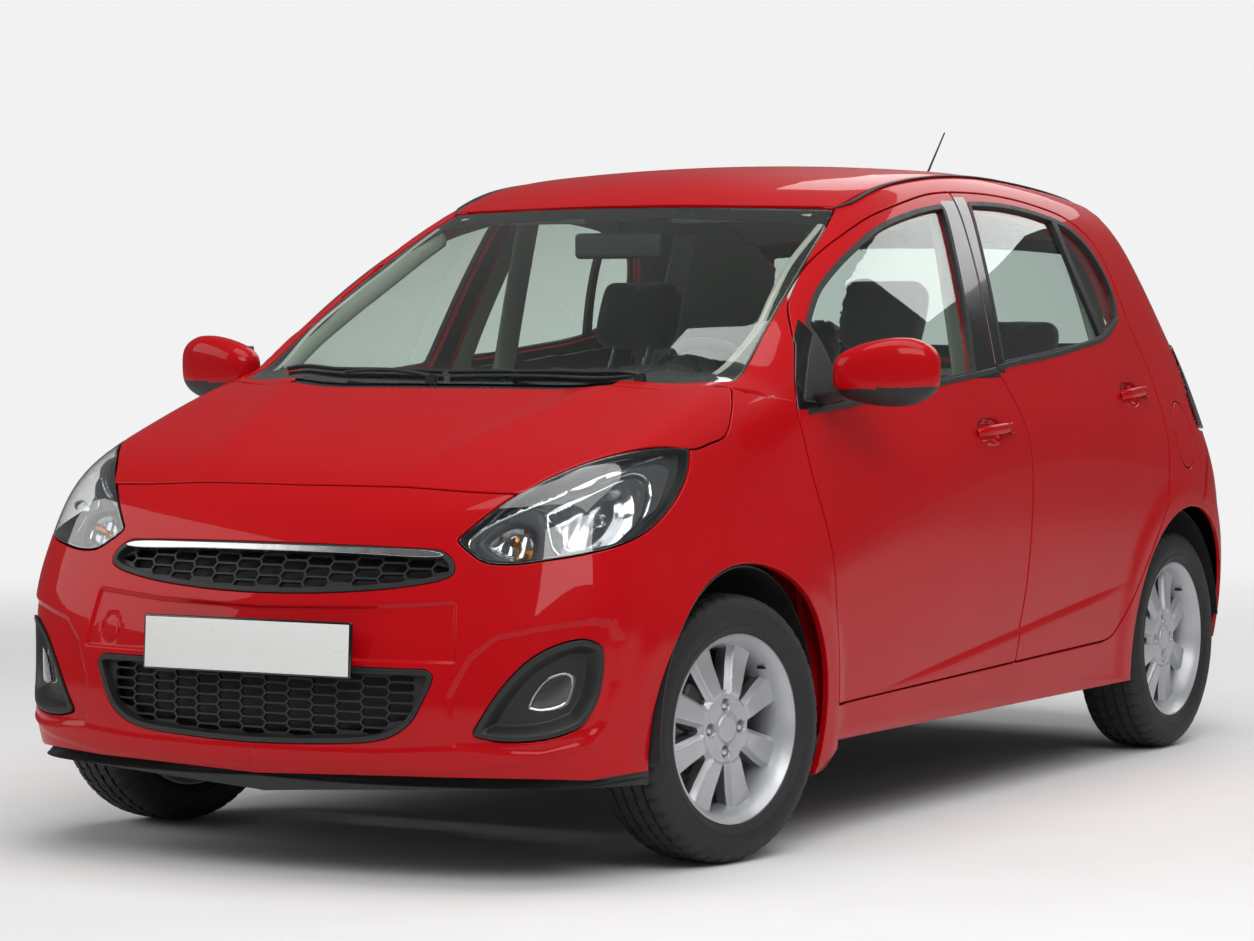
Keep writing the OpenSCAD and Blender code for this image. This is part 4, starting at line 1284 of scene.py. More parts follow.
@dataclass
class BodyLines:
    """Every shut line and opening of the body, as closed lines on its surface."""

    gap: float = 2.2
    arch_radius: float = 352.0

    def __post_init__(self) -> None:
        """Draws the lines."""
        side, plan = Chart.SIDE, Chart.PLAN
        b_line = [(206, 317), (242, 492), (263, 661), (265, 808), (238, 912), (165, 1035)]
        b_post = [(165, 1035), (190, 1150), (225, 1290), (262, 1462)]
        a_line = [(-744, 302), (-779, 539), (-808, 762), (-801, 949)]
        a_post = [
            (-801, 949), (-775, 1020), (-700, 1115), (-634, 1180), (-529, 1247), (-413, 1305),
            (-278, 1359), (-152, 1400), (33, 1438), (150, 1455), (262, 1462),
        ]
        self.front_door = trace(
            (side, a_line), (side, a_post), (side, b_post[::-1]), (side, b_line[::-1]),
            (side, [(206, 317), (-744, 302)]), radius=10,
        )
        c_post = [
            (262, 1462), (480, 1458), (700, 1436), (880, 1400), (985, 1345), (1035, 1260), (1046, 1207),
            (1068, 1114), (1111, 1022), (1131, 930), (1133, 824), (1113, 668),
        ]
        self.rear_door = trace(
            (side, b_line), (side, b_post), (side, c_post),
            (side, [(1113, 668), (978, 518), (888, 420), (804, 344), (738, 326)]),
            (side, [(738, 326), (206, 317)]), radius=10,
        )
        self.front_window = trace(
            (side, [(-592, 973), (-630, 1145)]),
            (side, [(-630, 1145), (-529, 1216), (-413, 1275), (-278, 1330), (-152, 1372), (33, 1408), (178, 1424)]),
            (side, [(178, 1424), (118, 1250), (80, 1130), (43, 1026)]),
            (side, [(43, 1026), (-592, 973)]), radius=14,
        )
        self.rear_window = trace(
            (side, [(215, 1045), (240, 1150), (325, 1432)]),
            (side, [(325, 1432), (500, 1430), (700, 1410), (860, 1376), (950, 1320), (996, 1250)]),
            (side, [(996, 1250), (1004, 1200), (985, 1150)]),
            (side, [(985, 1150), (860, 1104), (500, 1066), (215, 1045)]), radius=14,
        )
        self.bonnet = trace(
            (plan, [(0, -1650), (290, -1641), (430, -1632), (527, -1618)]),
            (plan, [(527, -1618), (560, -1562), (602, -1500), (650, -1420), (690, -1327), (716, -1241),
                    (724, -1164), (726, -1095), (708, -1040), (672, -977)]),
            (plan, [(672, -977), (614, -1014), (497, -1070), (308, -1094), (0, -1105)]),
            mirror=True, radius=26,
        )
        self.screen = trace(
            (plan, [(0, -1068), (300, -1058), (480, -1034), (600, -985), (655, -940)]),
            (plan, [(655, -940), (623, -724), (589, -488), (545, -250), (528, -190)]),
            (plan, [(528, -190), (300, -232), (0, -252)]), mirror=True, radius=12,
        )
        self.roof = trace(
            (plan, [(0, -245), (300, -225), (530, -180)]),
            (plan, [(530, -180), (546, 0), (556, 400), (550, 900), (535, 1330)]),
            (plan, [(535, 1330), (300, 1340), (0, 1344)]), mirror=True, radius=10,
        )
        hatch = Chart.HATCH
        top = along(hatch, plan, [(0, 1350), (300, 1347), (510, 1338)])
        edge = along(hatch, Chart.REAR, [(-572, 1400), (-600, 1300), (-640, 1190), (-664, 1100)])
        low = along(hatch, Chart.REAR, [(-664, 1100), (-658, 1055), (-628, 960), (-612, 860), (-575, 790),
                                        (-530, 660), (-480, 605)])
        sill = along(hatch, Chart.REAR, [(-480, 605), (-240, 594), (0, 590)])
        self.tailgate = trace(
            (hatch, top), (hatch, [top[-1]] + edge), (hatch, low), (hatch, sill), mirror=True, radius=24,
        )
        self.rear_screen = trace(
            (hatch, along(hatch, Chart.REAR, [(0, 1372), (-260, 1366), (-490, 1345)])),
            (hatch, along(hatch, Chart.REAR, [(-490, 1345), (-556, 1200), (-600, 1088)])),
            (hatch, along(hatch, Chart.REAR, [(-600, 1088), (-560, 1050), (-300, 1036), (0, 1030)])),
            mirror=True, radius=30,
        )
        lamp = Chart.LAMP
        self.headlamp = trace(
            (lamp, [(-776, 715), (-731, 752), (-674, 792), (-598, 831), (-510, 865), (-419, 887), (-325, 897),
                    (-250, 892)]),
            (lamp, [(-250, 892), (-262, 840), (-300, 785), (-368, 732), (-435, 707), (-514, 691), (-598, 678),
                    (-676, 668), (-725, 672), (-752, 690), (-776, 715)]),
            radius=16,
        )
        self.fog = trace(
            (lamp, [(-765, 322), (-708, 417), (-648, 478), (-587, 508), (-530, 516), (-492, 500)]),
            (lamp, [(-492, 500), (-491, 449), (-506, 388), (-539, 339)]),
            (lamp, [(-539, 339), (-609, 317), (-708, 311), (-765, 322)]), radius=14,
        )
        front = Chart.FRONT
        self.upper_grille = trace(
            (front, [(0, 700), (190, 699), (394, 694)]), (front, [(394, 694), (428, 672), (437, 647)]),
            (front, [(437, 647), (410, 635), (325, 619), (168, 605), (0, 600)]), mirror=True, radius=14,
        )
        self.lower_grille = trace(
            (front, [(0, 456), (415, 453)]), (front, [(415, 453), (424, 440), (402, 383), (378, 345), (340, 318),
            (290, 304), (124, 293), (0, 290)]), mirror=True, radius=16,
        )
        tail = Chart.TAIL
        front_edge = along(tail, side, [(1378, 1062), (1396, 1010), (1394, 930), (1410, 856), (1440, 842)])
        inner_edge = along(tail, Chart.REAR, [(-655, 1066), (-634, 960), (-620, 860), (-612, 842)])
        self.tail_lamp = trace(
            (tail, front_edge),
            (tail, [front_edge[-1], along(tail, side, [(1512, 838)])[0], inner_edge[-1]]),
            (tail, inner_edge[::-1]),
            (tail, [inner_edge[0], along(tail, side, [(1500, 1072)])[0], front_edge[0]]),
            radius=20,
        )
        self.front_arch = disc_line(side, (-1157, 290), (self.arch_radius, self.arch_radius), 96)
        self.rear_arch = disc_line(side, (1267, 290), (self.arch_radius, self.arch_radius), 96)
        self.flap = disc_line(side, (1270, 834), (70, 88), 56)

    def ring_of(self, y: float, z: float) -> list[float]:
        """Ring coordinates of a side point."""
        return along(Chart.RING, Chart.SIDE, [(y, z)])[0]


LINES = BodyLines()


def side_grid(y0: float, y1: float, z0: float, z1: float, spacing: float = 22.0) -> np.ndarray:
    """Points over the body side, in rows that follow its two creases.

    Args:
        y0: First station.
        y1: Last station.
        z0: Lowest height.
        z1: Greatest height.
        spacing: Distance between columns and between plain rows.

    Returns:
        Points on the body, one row each.
    """
    out = []
    for y in np.arange(y0, y1, spacing):
        shoulder = float(BODY.shoulder(np.array([y]))[0])
        crease = 330 + 0.11 * (y + 400)
        rows = [shoulder + o for o in (-44, -30, -20, -13, -7, -2, 3, 8, 14, 22, 34, 50)]
        rows += [crease + o for o in (-26, -18, -10, -3, 4, 14, 28, 46)]
        belt = 1028 + 0.092 * (y - 100)
        rows += [belt + o for o in (-60, -45, -32, -20, -10, 0, 10, 20, 32)]
        rows = [r for r in rows if z0 < r < z1]
        for z in np.arange(z0, z1, spacing):
            if all(abs(z - r) > spacing * 0.55 for r in rows):
                rows.append(z)
        rows = sorted(rows)
        kept = [rows[0]]
        for r in rows[1:]:
            if r - kept[-1] > 3.0:
                kept.append(r)
        out += [(y, z) for z in kept]
    return BODY.lift(Chart.SIDE, np.array(out, float))


def place(piece: bpy.types.Object, body: str, slot: str, *nodes: str) -> bpy.types.Object:
    """Hangs a piece on the body it rides on and hides the nodes it stands for."""
    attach(piece, body)
    if nodes:
        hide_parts(*nodes)
    log.info("piece %s on %s: %d faces", piece.name, body, len(piece.data.polygons))
    return piece


def pair(solid: Solid, name: str, finishes: Sequence[bpy.types.Material]) -> list[bpy.types.Object]:
    """Left and right pieces of one solid."""
    return [solid.build(name + "_left", finishes), solid.mirrored().build(name + "_right", finishes)]


def joined(*solids: Solid) -> Solid:
    """Several solids as one."""
    out = Solid()
    for s in solids:
        first = out.size
        for p in s.points:
            out.add(p)
        out.faces += [[i + first for i in f] for f in s.faces]
        out.normals += s.normals
        out.slots += s.slots
    return out


# ---------------------------------------------------------------- outer panels


def door_depth(p: np.ndarray) -> np.ndarray:
    """Thickness of a door: deep below the belt, thin round its window."""
    return 27 + 56 * (1 - ease((p[:, 2] - 930) / 110))


@dataclass
class OuterPanels:
    """Painted outer panels."""

    finishes: Finishes
    gap: float = 2.2
    roll: float = 2.6

    def sheet(self, chart: Chart, keep: Sequence[np.ndarray], cut: Sequence[np.ndarray] = (), **more) -> Sheet:
        """A panel with the common shut gap and edge roll."""
        return Sheet(chart, keep, cut, gap=self.gap, roll=self.roll, **more)

    def build(self) -> None:
        """Makes every panel."""
        self.paint = [self.finishes["red"], self.finishes["gloss"], self.finishes["black"]]
        self.doors()
        self.quarters()
        self.fenders()
        self.lids()
        self.bumpers()

    def doors(self) -> None:
        """Makes the four doors with their black posts and sail panels."""
        side = Chart.SIDE
        grid = side_grid(-840, 1160, 300, 1470)
        front_post = trace(
            (side, [(186, 1440), (126, 1252), (88, 1130), (51, 1010)]), (side, [(51, 1010), (240, 1010)]),
            (side, [(240, 1010), (240, 1130), (275, 1290), (310, 1440)]), (side, [(310, 1440), (186, 1440)]),
            radius=2,
        )
        front_sail = trace(
            (side, [(-600, 960), (-640, 1160)]), (side, [(-640, 1160), (-760, 1060), (-840, 960)]),
            (side, [(-840, 960), (-600, 960)]), radius=2,
        )
        rear_post = trace(
            (side, [(120, 1020), (150, 1150), (190, 1290), (230, 1450)]), (side, [(230, 1450), (318, 1450)]),
            (side, [(318, 1450), (234, 1150), (209, 1020)]), (side, [(209, 1020), (120, 1020)]), radius=2,
        )
        wells = [self.handle_well(60, 885), self.handle_well(940, 950)]
        for name, line, window, regions, well in (
            ("front_door", LINES.front_door, LINES.front_window, [(front_post, 1), (front_sail, 1)], wells[0]),
            ("rear_door", LINES.rear_door, LINES.rear_window, [(rear_post, 1)], wells[1]),
        ):
            fine = np.concatenate([grid, self.well_grid(well)])
            sheet = self.sheet(
                side, [line], [window], grid=fine, inner=door_depth, regions=regions, reliefs=[well],
                inner_slot=2,
            )
            for side_name, piece in zip(("left", "right"), pair(sheet.solid(), name + "_panel", self.paint)):
                node = f"{name}_{side_name}"
                place(piece, node, "red_paint", node)

    def handle_well(self, y: float, z: float) -> Relief:
        """Recess behind a pull handle, with a round lobe above and below."""
        a = np.linspace(0, 2 * np.pi, 48, endpoint=False)
        r = 34 + 8 * np.cos(2 * a)
        outline = np.stack([y - 12 + 1.35 * r * np.cos(a), z + 1.0 * r * np.sin(a)], -1)
        return Relief(Chart.SIDE, outline, -15.0, 20.0, sides=False)

    def well_grid(self, well: Relief) -> np.ndarray:
        """Dense points over a recess."""
        middle = well.outline.mean(0)
        a = np.linspace(-72, 72, 25)
        y, z = np.meshgrid(a + middle[0], a * 0.8 + middle[1])
        return BODY.lift(Chart.SIDE, np.stack([y.ravel(), z.ravel()], -1))

    def quarters(self) -> None:
        """Makes the side frames: quarter panels, sills, pillars and cantrails in one skin."""
        ring = Chart.RING
        rad = 500 * math.pi / 180
        outline = np.array(
            [(-740, -46), (930, -46), (1700, -20), (1700, 60), (1400, 78), (-200, 80), (-600, 60),
             (-1000, 38), (-965, 35), (-801, 24), (-746, 22), (-746, -44)], float,
        ) * np.array([1, rad])
        tail_edge = BODY.lay(ring, grown(chain(LINES.tailgate, lambda p: p[:, 0] > 300), self.gap + self.roll))
        tail_cut = np.concatenate([tail_edge, [(1950, tail_edge[-1][1]), (1950, tail_edge[0][1])]])
        p1, p2 = LINES.ring_of(1341, 634), LINES.ring_of(1512, 838)
        bumper = np.array([p1, p2, (1900, p2[1] + 40), (1900, -460), (1300, -460), (1300, p1[1])])
        p3, p4 = LINES.ring_of(1420, 838), LINES.ring_of(1420, 1060)
        lamp_back = np.array([(1480, p3[1]), (1900, p3[1] + 10), (1900, p4[1] + 60), (1480, p4[1])])
        cuts = [
            LINES.front_door, LINES.rear_door, LINES.rear_arch, LINES.roof, LINES.screen, LINES.bonnet,
            tail_cut, bumper, LINES.tail_lamp, lamp_back,
        ]
        high = [(y, v) for y in np.arange(-960, 1720, 24) for v in np.arange(280, 700, 20)]
        grid = np.concatenate([
            BODY.lay(ring, side_grid(-760, 1700, 180, 1150)), np.array(high, float),
        ])
        plain, filled = (
            self.sheet(ring, [outline], cuts + hole, grid=grid, inner=14, inner_slot=2).solid()
            for hole in ([], [LINES.flap])
        )
        piece = joined(filled, plain.mirrored()).build("side_frame_skin", self.paint)
        place(piece, "car_body", "red_paint")
        self.inner_frames()
        flap = self.sheet(Chart.SIDE, [LINES.flap], inner=6, spacing=14).solid()
        place(flap.build("fuel_flap_skin", self.paint), "fuel_flap", "red_paint", "fuel_flap")
        well = Sheet(
            Chart.SIDE, [grown(LINES.flap, 8)], outer=14.5, inner=40, gap=0, roll=0.0, spacing=30,
        ).solid()
        place(well.build("filler_well", [self.finishes["black"]]), "car_body", "black_plastic")

    def inner_frames(self) -> None:
        """Makes the door apertures behind the doors: posts, sills and cantrails set inwards."""
        ring = Chart.RING
        rad = 500 * math.pi / 180
        outline = np.array(
            [(-800, -45), (1180, -45), (1500, 20), (1500, 58), (1400, 74), (-200, 74), (-600, 56),
             (-900, 34), (-820, 20)], float,
        ) * np.array([1, rad])
        front = grown(LINES.front_door, -42)
        rear = grown(LINES.rear_door, -42)
        cuts = [front, rear, grown(LINES.rear_arch, 6), grown(LINES.roof, -30), grown(LINES.screen, -20)]
        sheet = Sheet(
            ring, [outline], cuts, outer=31.0, inner=44.0, gap=0, roll=1.5, spacing=34, wall_slot=0, inner_slot=1,
        )
        deep = Sheet(
            ring, [np.array([(-820, -45), (1180, -45), (1180, 25), (-820, 25)]) * np.array([1, rad])],
            [grown(LINES.front_door, -30), grown(LINES.rear_door, -30), LINES.rear_arch],
            outer=88.0, inner=100.0, gap=0, roll=1.5, spacing=40,
        )
        solids = [sheet.solid(), deep.solid()]
        solids += [s.mirrored() for s in solids]
        piece = joined(*solids).build("door_apertures", [self.finishes["red"], self.finishes["pale"]])
        place(piece, "car_body", "red_paint", "side_frames")

    def fenders(self) -> None:
        """Makes the front fenders."""
        ring = Chart.RING
        p1, p2, p3 = (LINES.ring_of(y, z) for y, z in ((-1290, 615), (-1345, 668), (-1450, 742)))
        outline = np.array([
            (-1560, -460), (-1560, 560), (-960, 560), (-960, LINES.ring_of(-960, 1000)[1]),
            (-700, LINES.ring_of(-700, 960)[1]), (-700, -460),
        ])
        bumper = np.array([
            p1, p2, p3, (-1475, p3[1] + 12), (-1700, p3[1] + 12), (-1700, -470), (-1250, -470), (-1250, p1[1]),
        ])
        cuts = [LINES.front_arch, LINES.front_door, LINES.bonnet, LINES.headlamp, LINES.screen, bumper]
        high = [(y, v) for y in np.arange(-1560, -700, 20) for v in np.arange(230, 620, 18)]
        grid = np.concatenate([BODY.lay(ring, side_grid(-1560, -700, 200, 930)), np.array(high, float)])
        solid = self.sheet(ring, [outline], cuts, grid=grid, inner=14, inner_slot=2).solid()
        piece = joined(solid, solid.mirrored()).build("front_fender_skins", self.paint)
        place(piece, "car_body", "red_paint", "front_fenders")

    def lids(self) -> None:
        """Makes the bonnet, roof and tailgate."""
        bonnet = self.sheet(Chart.PLAN, [LINES.bonnet], inner=16, spacing=16, inner_slot=2).solid()
        place(bonnet.build("bonnet_skin", self.paint), "bonnet", "red_paint", "bonnet")
        roof = self.sheet(Chart.PLAN, [LINES.roof], inner=8, spacing=24, inner_slot=0).solid()
        place(roof.build("roof_skin", self.paint), "car_body", "red_paint", "roof_panel")
        gate = self.sheet(
            Chart.HATCH, [LINES.tailgate], [LINES.rear_screen], inner=30, spacing=18, inner_slot=2,
            reliefs=self.gate_reliefs(),
        ).solid()
        place(gate.build("tailgate_skin", self.paint), "tailgate", "red_paint", "tailgate")

    def gate_reliefs(self) -> list[Relief]:
        """Number lamp recess."""
        rear = Chart.REAR
        recess = smooth_line([(-230, 690), (-228, 742), (0, 752), (228, 742), (230, 690), (0, 682), (-230, 690)], 14)
        return [Relief(rear, recess[:-1], -10.0, 12.0, sides=False)]

    def bumpers(self) -> None:
        """Makes the two bumpers."""
        nose = Chart.NOSE
        fender = np.concatenate([
            BODY.lay(nose, BODY.lift(Chart.SIDE, np.array([(-1290, 615), (-1345, 668), (-1450, 742)], float))),
        ])
        end = 1500.0
        left = np.array([
            (fender[0][0], fender[0][1]), (fender[1][0], fender[1][1]), (fender[2][0], fender[2][1]),
            (fender[2][0], 900), (end, 900), (end, 560), (fender[0][0], 560),
        ])
        right = left * np.array([-1, 1])
        outline = np.array([(-1450, 212), (1450, 212), (1450, 860), (-1450, 860)], float)
        cuts = [LINES.bonnet, LINES.upper_grille, LINES.lower_grille, left, right]
        for line in (LINES.headlamp, LINES.fog, LINES.front_arch):
            cuts += [line, opposite(line)]
        lip = np.array([(-1450, 200), (1450, 200), (1450, 243), (1000, 243), (700, 226), (0, 222),
                        (-700, 226), (-1000, 243), (-1450, 243)], float)
        sheet = self.sheet(
            nose, [outline], cuts, inner=10, spacing=13, regions=[(lip, 2)], reliefs=self.nose_reliefs(),
            inner_slot=2,
        )
        place(sheet.solid().build("front_bumper_skin", self.paint), "car_body", "red_paint", "front_bumper")
        tail = Chart.TAIL
        edge = along(tail, Chart.SIDE, [(1341, 634), (1512, 838)])
        left = np.array([edge[0], edge[1], (edge[1][0], 838), (edge[1][0], 1000), (-end, 1000), (-end, 500),
                         (edge[0][0], 600)])
        right = left * np.array([-1, 1])
        reach = float(np.abs(along(tail, Chart.SIDE, [(1235, 400)])).max(0)[0])
        outline = np.array([(-reach, 268), (reach, 268), (reach, 838), (-reach, 838)], float)
        diffuser = np.array([(-1500, 250), (1500, 250), (1500, 300), (620, 300), (540, 372), (-540, 372),
                             (-620, 300), (-1500, 300)], float)
        sheet = self.sheet(
            tail, [outline], [LINES.tailgate, LINES.tail_lamp, opposite(LINES.tail_lamp), left, right,
                              LINES.rear_arch, opposite(LINES.rear_arch)],
            inner=10, spacing=16, regions=[(diffuser, 2)], reliefs=self.tail_reliefs(), inner_slot=2,
        )
        place(sheet.solid().build("rear_bumper_skin", self.paint), "car_body", "red_paint", "rear_bumper")

    def nose_reliefs(self) -> list[Relief]:
        """Creases and recesses of the front bumper."""
        front = Chart.FRONT
        plate = np.array([(-470, 470), (470, 470), (452, 590), (262, 577), (0, 571), (-262, 577), (-452, 590)], float)
        shelf = np.array([(0, 238), (436, 240), (600, 262), (720, 300), (720, 328), (600, 306), (480, 296),
                          (300, 284), (0, 281)], float)
        fog = np.array([(548, 522), (632, 540), (716, 553), (740, 545), (748, 512), (744, 430), (728, 345),
                        (706, 306), (640, 288), (560, 290), (470, 300), (462, 400), (500, 480)], float)
        tow = np.array([(-403 + 25 * math.cos(a), 509 + 29 * math.sin(a)) for a in np.linspace(0, 6.1, 26)])
        groove = np.array([(-403 + 28 * math.cos(a), 509 + 32 * math.sin(a)) for a in np.linspace(0, 6.1, 26)])
        return [
            Relief(front, plate, -6.0, 10.0, sides=False),
            Relief(front, shelf, 5.0, 16.0),
            Relief(front, fog, -7.0, 14.0),
            Relief(front, tow, 2.5, 3.0, sides=False),
            Relief(front, groove, -2.5, 3.0, sides=False),
        ]

    def tail_reliefs(self) -> list[Relief]:
        """Plate recess and lower step of the rear bumper."""
        rear = Chart.REAR
        plate = np.array([(-290, 485), (290, 485), (300, 640), (-300, 640)], float)
        shelf = np.array([(-700, 318), (700, 318), (640, 392), (-640, 392)], float)
        return [Relief(rear, plate, -9.0, 16.0, sides=False), Relief(rear, shelf, -8.0, 18.0, sides=False)]


# ---------------------------------------------------------------- glazing


@dataclass
class Glazing:
    """Windscreen, side windows and rear glass with their black borders and seals."""

    finishes: Finishes
    thickness: float = 4.0

    def build(self) -> None:
        """Makes every pane."""
        self.screen()
        self.side_panes()
        self.rear()

    def border(self, loop: np.ndarray, widths: Callable[[np.ndarray], np.ndarray]) -> np.ndarray:
        """Inner edge of a printed border."""
        return loop - outward(loop, BODY.normal(loop)) * widths(loop)[:, None]

    def screen(self) -> None:
        """Makes the windscreen with its printed border."""
        plan = Chart.PLAN
        clear = trace(
            (plan, [(0, -962), (300, -956), (440, -938), (556, -900)]),
            (plan, [(556, -900), (592, -860), (597, -830)]),
            (plan, [(597, -830), (572, -640), (540, -440), (508, -290)]),
            (plan, [(508, -290), (300, -306), (90, -312)]),
            (plan, [(90, -312), (84, -330), (0, -334)]), mirror=True, radius=30,
        )
        pane = Sheet(plan, [LINES.screen], outer=3.0, inner=3.0 + self.thickness, gap=4.0, roll=1.2, spacing=26).solid()
        place(pane.build("windscreen_pane", [self.finishes["glass"]]), "car_body", "window_glass", "windscreen")
        print_edge = Sheet(
            plan, [LINES.screen], [clear], outer=7.4, inner=9.0, gap=5.0, roll=0.0, spacing=26,
        ).solid()
        place(print_edge.build("windscreen_border", [self.finishes["frit"]]), "car_body", "black_plastic")

    def side_panes(self) -> None:
        """Makes the door windows, their seals and the rear quarter division bar."""
        side = Chart.SIDE
        bar = trace(
            (side, [(838, 1090), (800, 1200), (776, 1300), (768, 1400)]), (side, [(768, 1400), (796, 1396)]),
            (side, [(796, 1396), (804, 1300), (830, 1200), (868, 1098)]), (side, [(868, 1098), (838, 1090)]), radius=3,
        )
        for name, line in (("front", LINES.front_window), ("rear", LINES.rear_window)):
            pane = Sheet(side, [line], outer=9.0, inner=9.0 + self.thickness, gap=-6.0, roll=0.0, spacing=40).solid()
            pieces = pair(pane, f"{name}_window_pane", [self.finishes["glass"]])
            seal = Sheet(
                side, [grown(line, 9)], [grown(line, -5)], outer=-1.6, inner=12.0, gap=0.0, roll=1.6, spacing=400,
            ).solid()
            if name == "rear":
                post = Sheet(side, [bar], outer=-1.0, inner=14.0, gap=0, roll=1.6, spacing=400).solid()
                seal = joined(seal, post)
            seals = pair(seal, f"{name}_window_seal", [self.finishes["black"]])
            for side_name, piece, rubber in zip(("left", "right"), pieces, seals):
                door = f"{name}_door_{side_name}"
                place(piece, door, "window_glass", f"{name}_glass_{side_name}")
                place(rubber, door, "black_plastic")

    def rear(self) -> None:
        """Makes the tailgate glass."""
        hatch = Chart.HATCH
        pane = Sheet(
            hatch, [LINES.rear_screen], outer=4.0, inner=4.0 + self.thickness, gap=1.5, roll=1.2, spacing=26
        ).solid()
        place(pane.build("rear_screen_pane", [self.finishes["privacy"]]), "tailgate", "window_glass", "tailgate_glass")
        edge = Sheet(
            hatch, [LINES.rear_screen], [grown(LINES.rear_screen, -46)], outer=8.4, inner=10.0, gap=1.0, roll=0.0,
            spacing=26,
        ).solid()
        place(edge.build("rear_screen_border", [self.finishes["frit"]]), "tailgate", "black_plastic")


# ---------------------------------------------------------------- small shapes


def clear_selection() -> None:
    """Deselects everything."""
    if bpy.context.object and bpy.context.object.mode != "OBJECT":
        bpy.ops.object.mode_set(mode="OBJECT")
    bpy.ops.object.select_all(action="DESELECT")


def settle(piece: bpy.types.Object, matrix: Matrix | None = None) -> bpy.types.Object:
    """Puts a piece's place into its mesh, after moving it by a matrix in millimetres.

    Args:
        piece: The piece.
        matrix: An extra move.

    Returns:
        The piece, at the origin.
    """
    bpy.context.view_layer.update()
    total = piece.matrix_world.copy()
    if matrix is not None:
        scaled = matrix.copy()
        scaled.translation *= MM
        total = scaled @ total
    piece.data.transform(total)
    piece.matrix_world = Matrix.Identity(4)
    if total.determinant() < 0:
        piece.data.flip_normals()
    return piece


def smooth(piece: bpy.types.Object, degrees: float = 35.0) -> bpy.types.Object:
    """Shades a piece smooth up to an edge angle."""
    clear_selection()
    piece.select_set(True)
    bpy.context.view_layer.objects.active = piece
    bpy.ops.object.shade_smooth_by_angle(angle=math.radians(degrees))
    return piece


def finish_modifiers(piece: bpy.types.Object) -> bpy.types.Object:
    """Applies every modifier of a piece."""
    clear_selection()
    piece.select_set(True)
    bpy.context.view_layer.objects.active = piece
    for modifier in list(piece.modifiers):
        bpy.ops.object.modifier_apply(modifier=modifier.name)
    return piece


def block(
    name: str, size: Sequence[float], at: Sequence[float], finish: bpy.types.Material,
    bevel: float = 3.0, turn: Matrix | None = None, segments: int = 3,
) -> bpy.types.Object:
    """A rounded block.

    Args:
        name: Its name.
        size: Its three sizes.
        at: Its middle.
        finish: Its material.
        bevel: Rounding of its edges.
        turn: A rotation about its middle.
        segments: Faces across each rounding.

    Returns:
        The piece.
    """
    clear_selection()
    bpy.ops.mesh.primitive_cube_add(size=1)
    piece = bpy.context.object
    piece.name = name
    piece.data.name = name
    piece.scale = [s * MM for s in size]
    settle(piece)
    edge = piece.modifiers.new("edge", "BEVEL")
    edge.width = min(bevel, min(size) * 0.45) * MM
    edge.segments = segments
    finish_modifiers(piece)
    piece.data.materials.append(finish)
    settle(piece, Matrix.Translation(at) @ (turn or Matrix.Identity(4)))
    return smooth(piece, 40)


def turned(
    name: str, profile: Points, finish: bpy.types.Material, matrix: Matrix, count: int = 64,
    closed: bool = False, angle: float = 30.0,
) -> bpy.types.Object:
    """A shape turned about its own Z axis, drawn out ring by ring.

    Args:
        name: Its name.
        profile: Radius and height of each ring.
        finish: Its material.
        matrix: Where it goes.
        count: Points round each ring.
        closed: Whether the last ring joins the first instead of both ends being capped.
        angle: Edge angle up to which it is shaded smooth.

    Returns:
        The piece.
    """
    clear_selection()
    r, h = profile[0]
    bpy.ops.mesh.primitive_circle_add(vertices=count, radius=r, location=(0, 0, h))
    piece = bpy.context.object
    piece.name = name
    piece.data.name = name
    settle(piece)
    bpy.ops.object.mode_set(mode="EDIT")
    bpy.ops.mesh.select_all(action="SELECT")
    if not closed:
        bpy.ops.mesh.edge_face_add()
        bpy.ops.mesh.select_all(action="SELECT")
    for r1, h1 in list(profile[1:]) + ([profile[0]] if closed else []):
        step = {"value": (0, 0, h1 - h)}
        if closed:
            bpy.ops.mesh.extrude_edges_move(TRANSFORM_OT_translate=step)
        else:
            bpy.ops.mesh.extrude_region_move(TRANSFORM_OT_translate=step)
        bpy.ops.transform.resize(value=(r1 / r, r1 / r, 1), center_override=(0, 0, h1))
        r, h = r1, h1
    if closed:
        bpy.ops.mesh.select_all(action="SELECT")
        bpy.ops.mesh.remove_doubles(threshold=0.001)
    bpy.ops.mesh.select_all(action="SELECT")
    bpy.ops.mesh.normals_make_consistent(inside=False)
    bpy.ops.object.mode_set(mode="OBJECT")
    piece.data.materials.append(finish)
    piece.data.transform(Matrix.Scale(MM, 4))
    settle(piece, matrix)
    return smooth(piece, angle)


def swept(path: np.ndarray, radii: np.ndarray, up: Sequence[float] = (0, 0, 1), count: int = 20) -> Solid:
    """A closed rod of oval section along a path.

    Args:
        path: Its middle line.
        radii: Half width across and half height at each point.
        up: Rough direction of the height.
        count: Points round the section.

    Returns:
        The rod.
    """
    ahead = unit(np.gradient(path, axis=0))
    across = unit(np.cross(np.asarray(up, float), ahead))
    high = np.cross(ahead, across)
    a = np.linspace(0, 2 * np.pi, count, endpoint=False)
    solid = Solid()
    rows, turns = [], []
    for i in range(len(path)):
        ring = across[i] * radii[i][0] * np.cos(a)[:, None] + high[i] * radii[i][1] * np.sin(a)[:, None]
        rows.append(solid.add(path[i] + ring) + np.arange(count))
        turns.append(unit(across[i] * np.cos(a)[:, None] / radii[i][0] + high[i] * np.sin(a)[:, None] / radii[i][1]))
    for i in range(len(path) - 1):
        for j in range(count):
            k = (j + 1) % count
            solid.face(
                [rows[i][j], rows[i][k], rows[i + 1][k], rows[i + 1][j]],
                [turns[i][j], turns[i][k], turns[i + 1][k], turns[i + 1][j]], 0,
            )
    for row, way in ((rows[0][::-1], -ahead[0]), (rows[-1], ahead[-1])):
        solid.face(list(row), [way] * count, 0)
    return solid


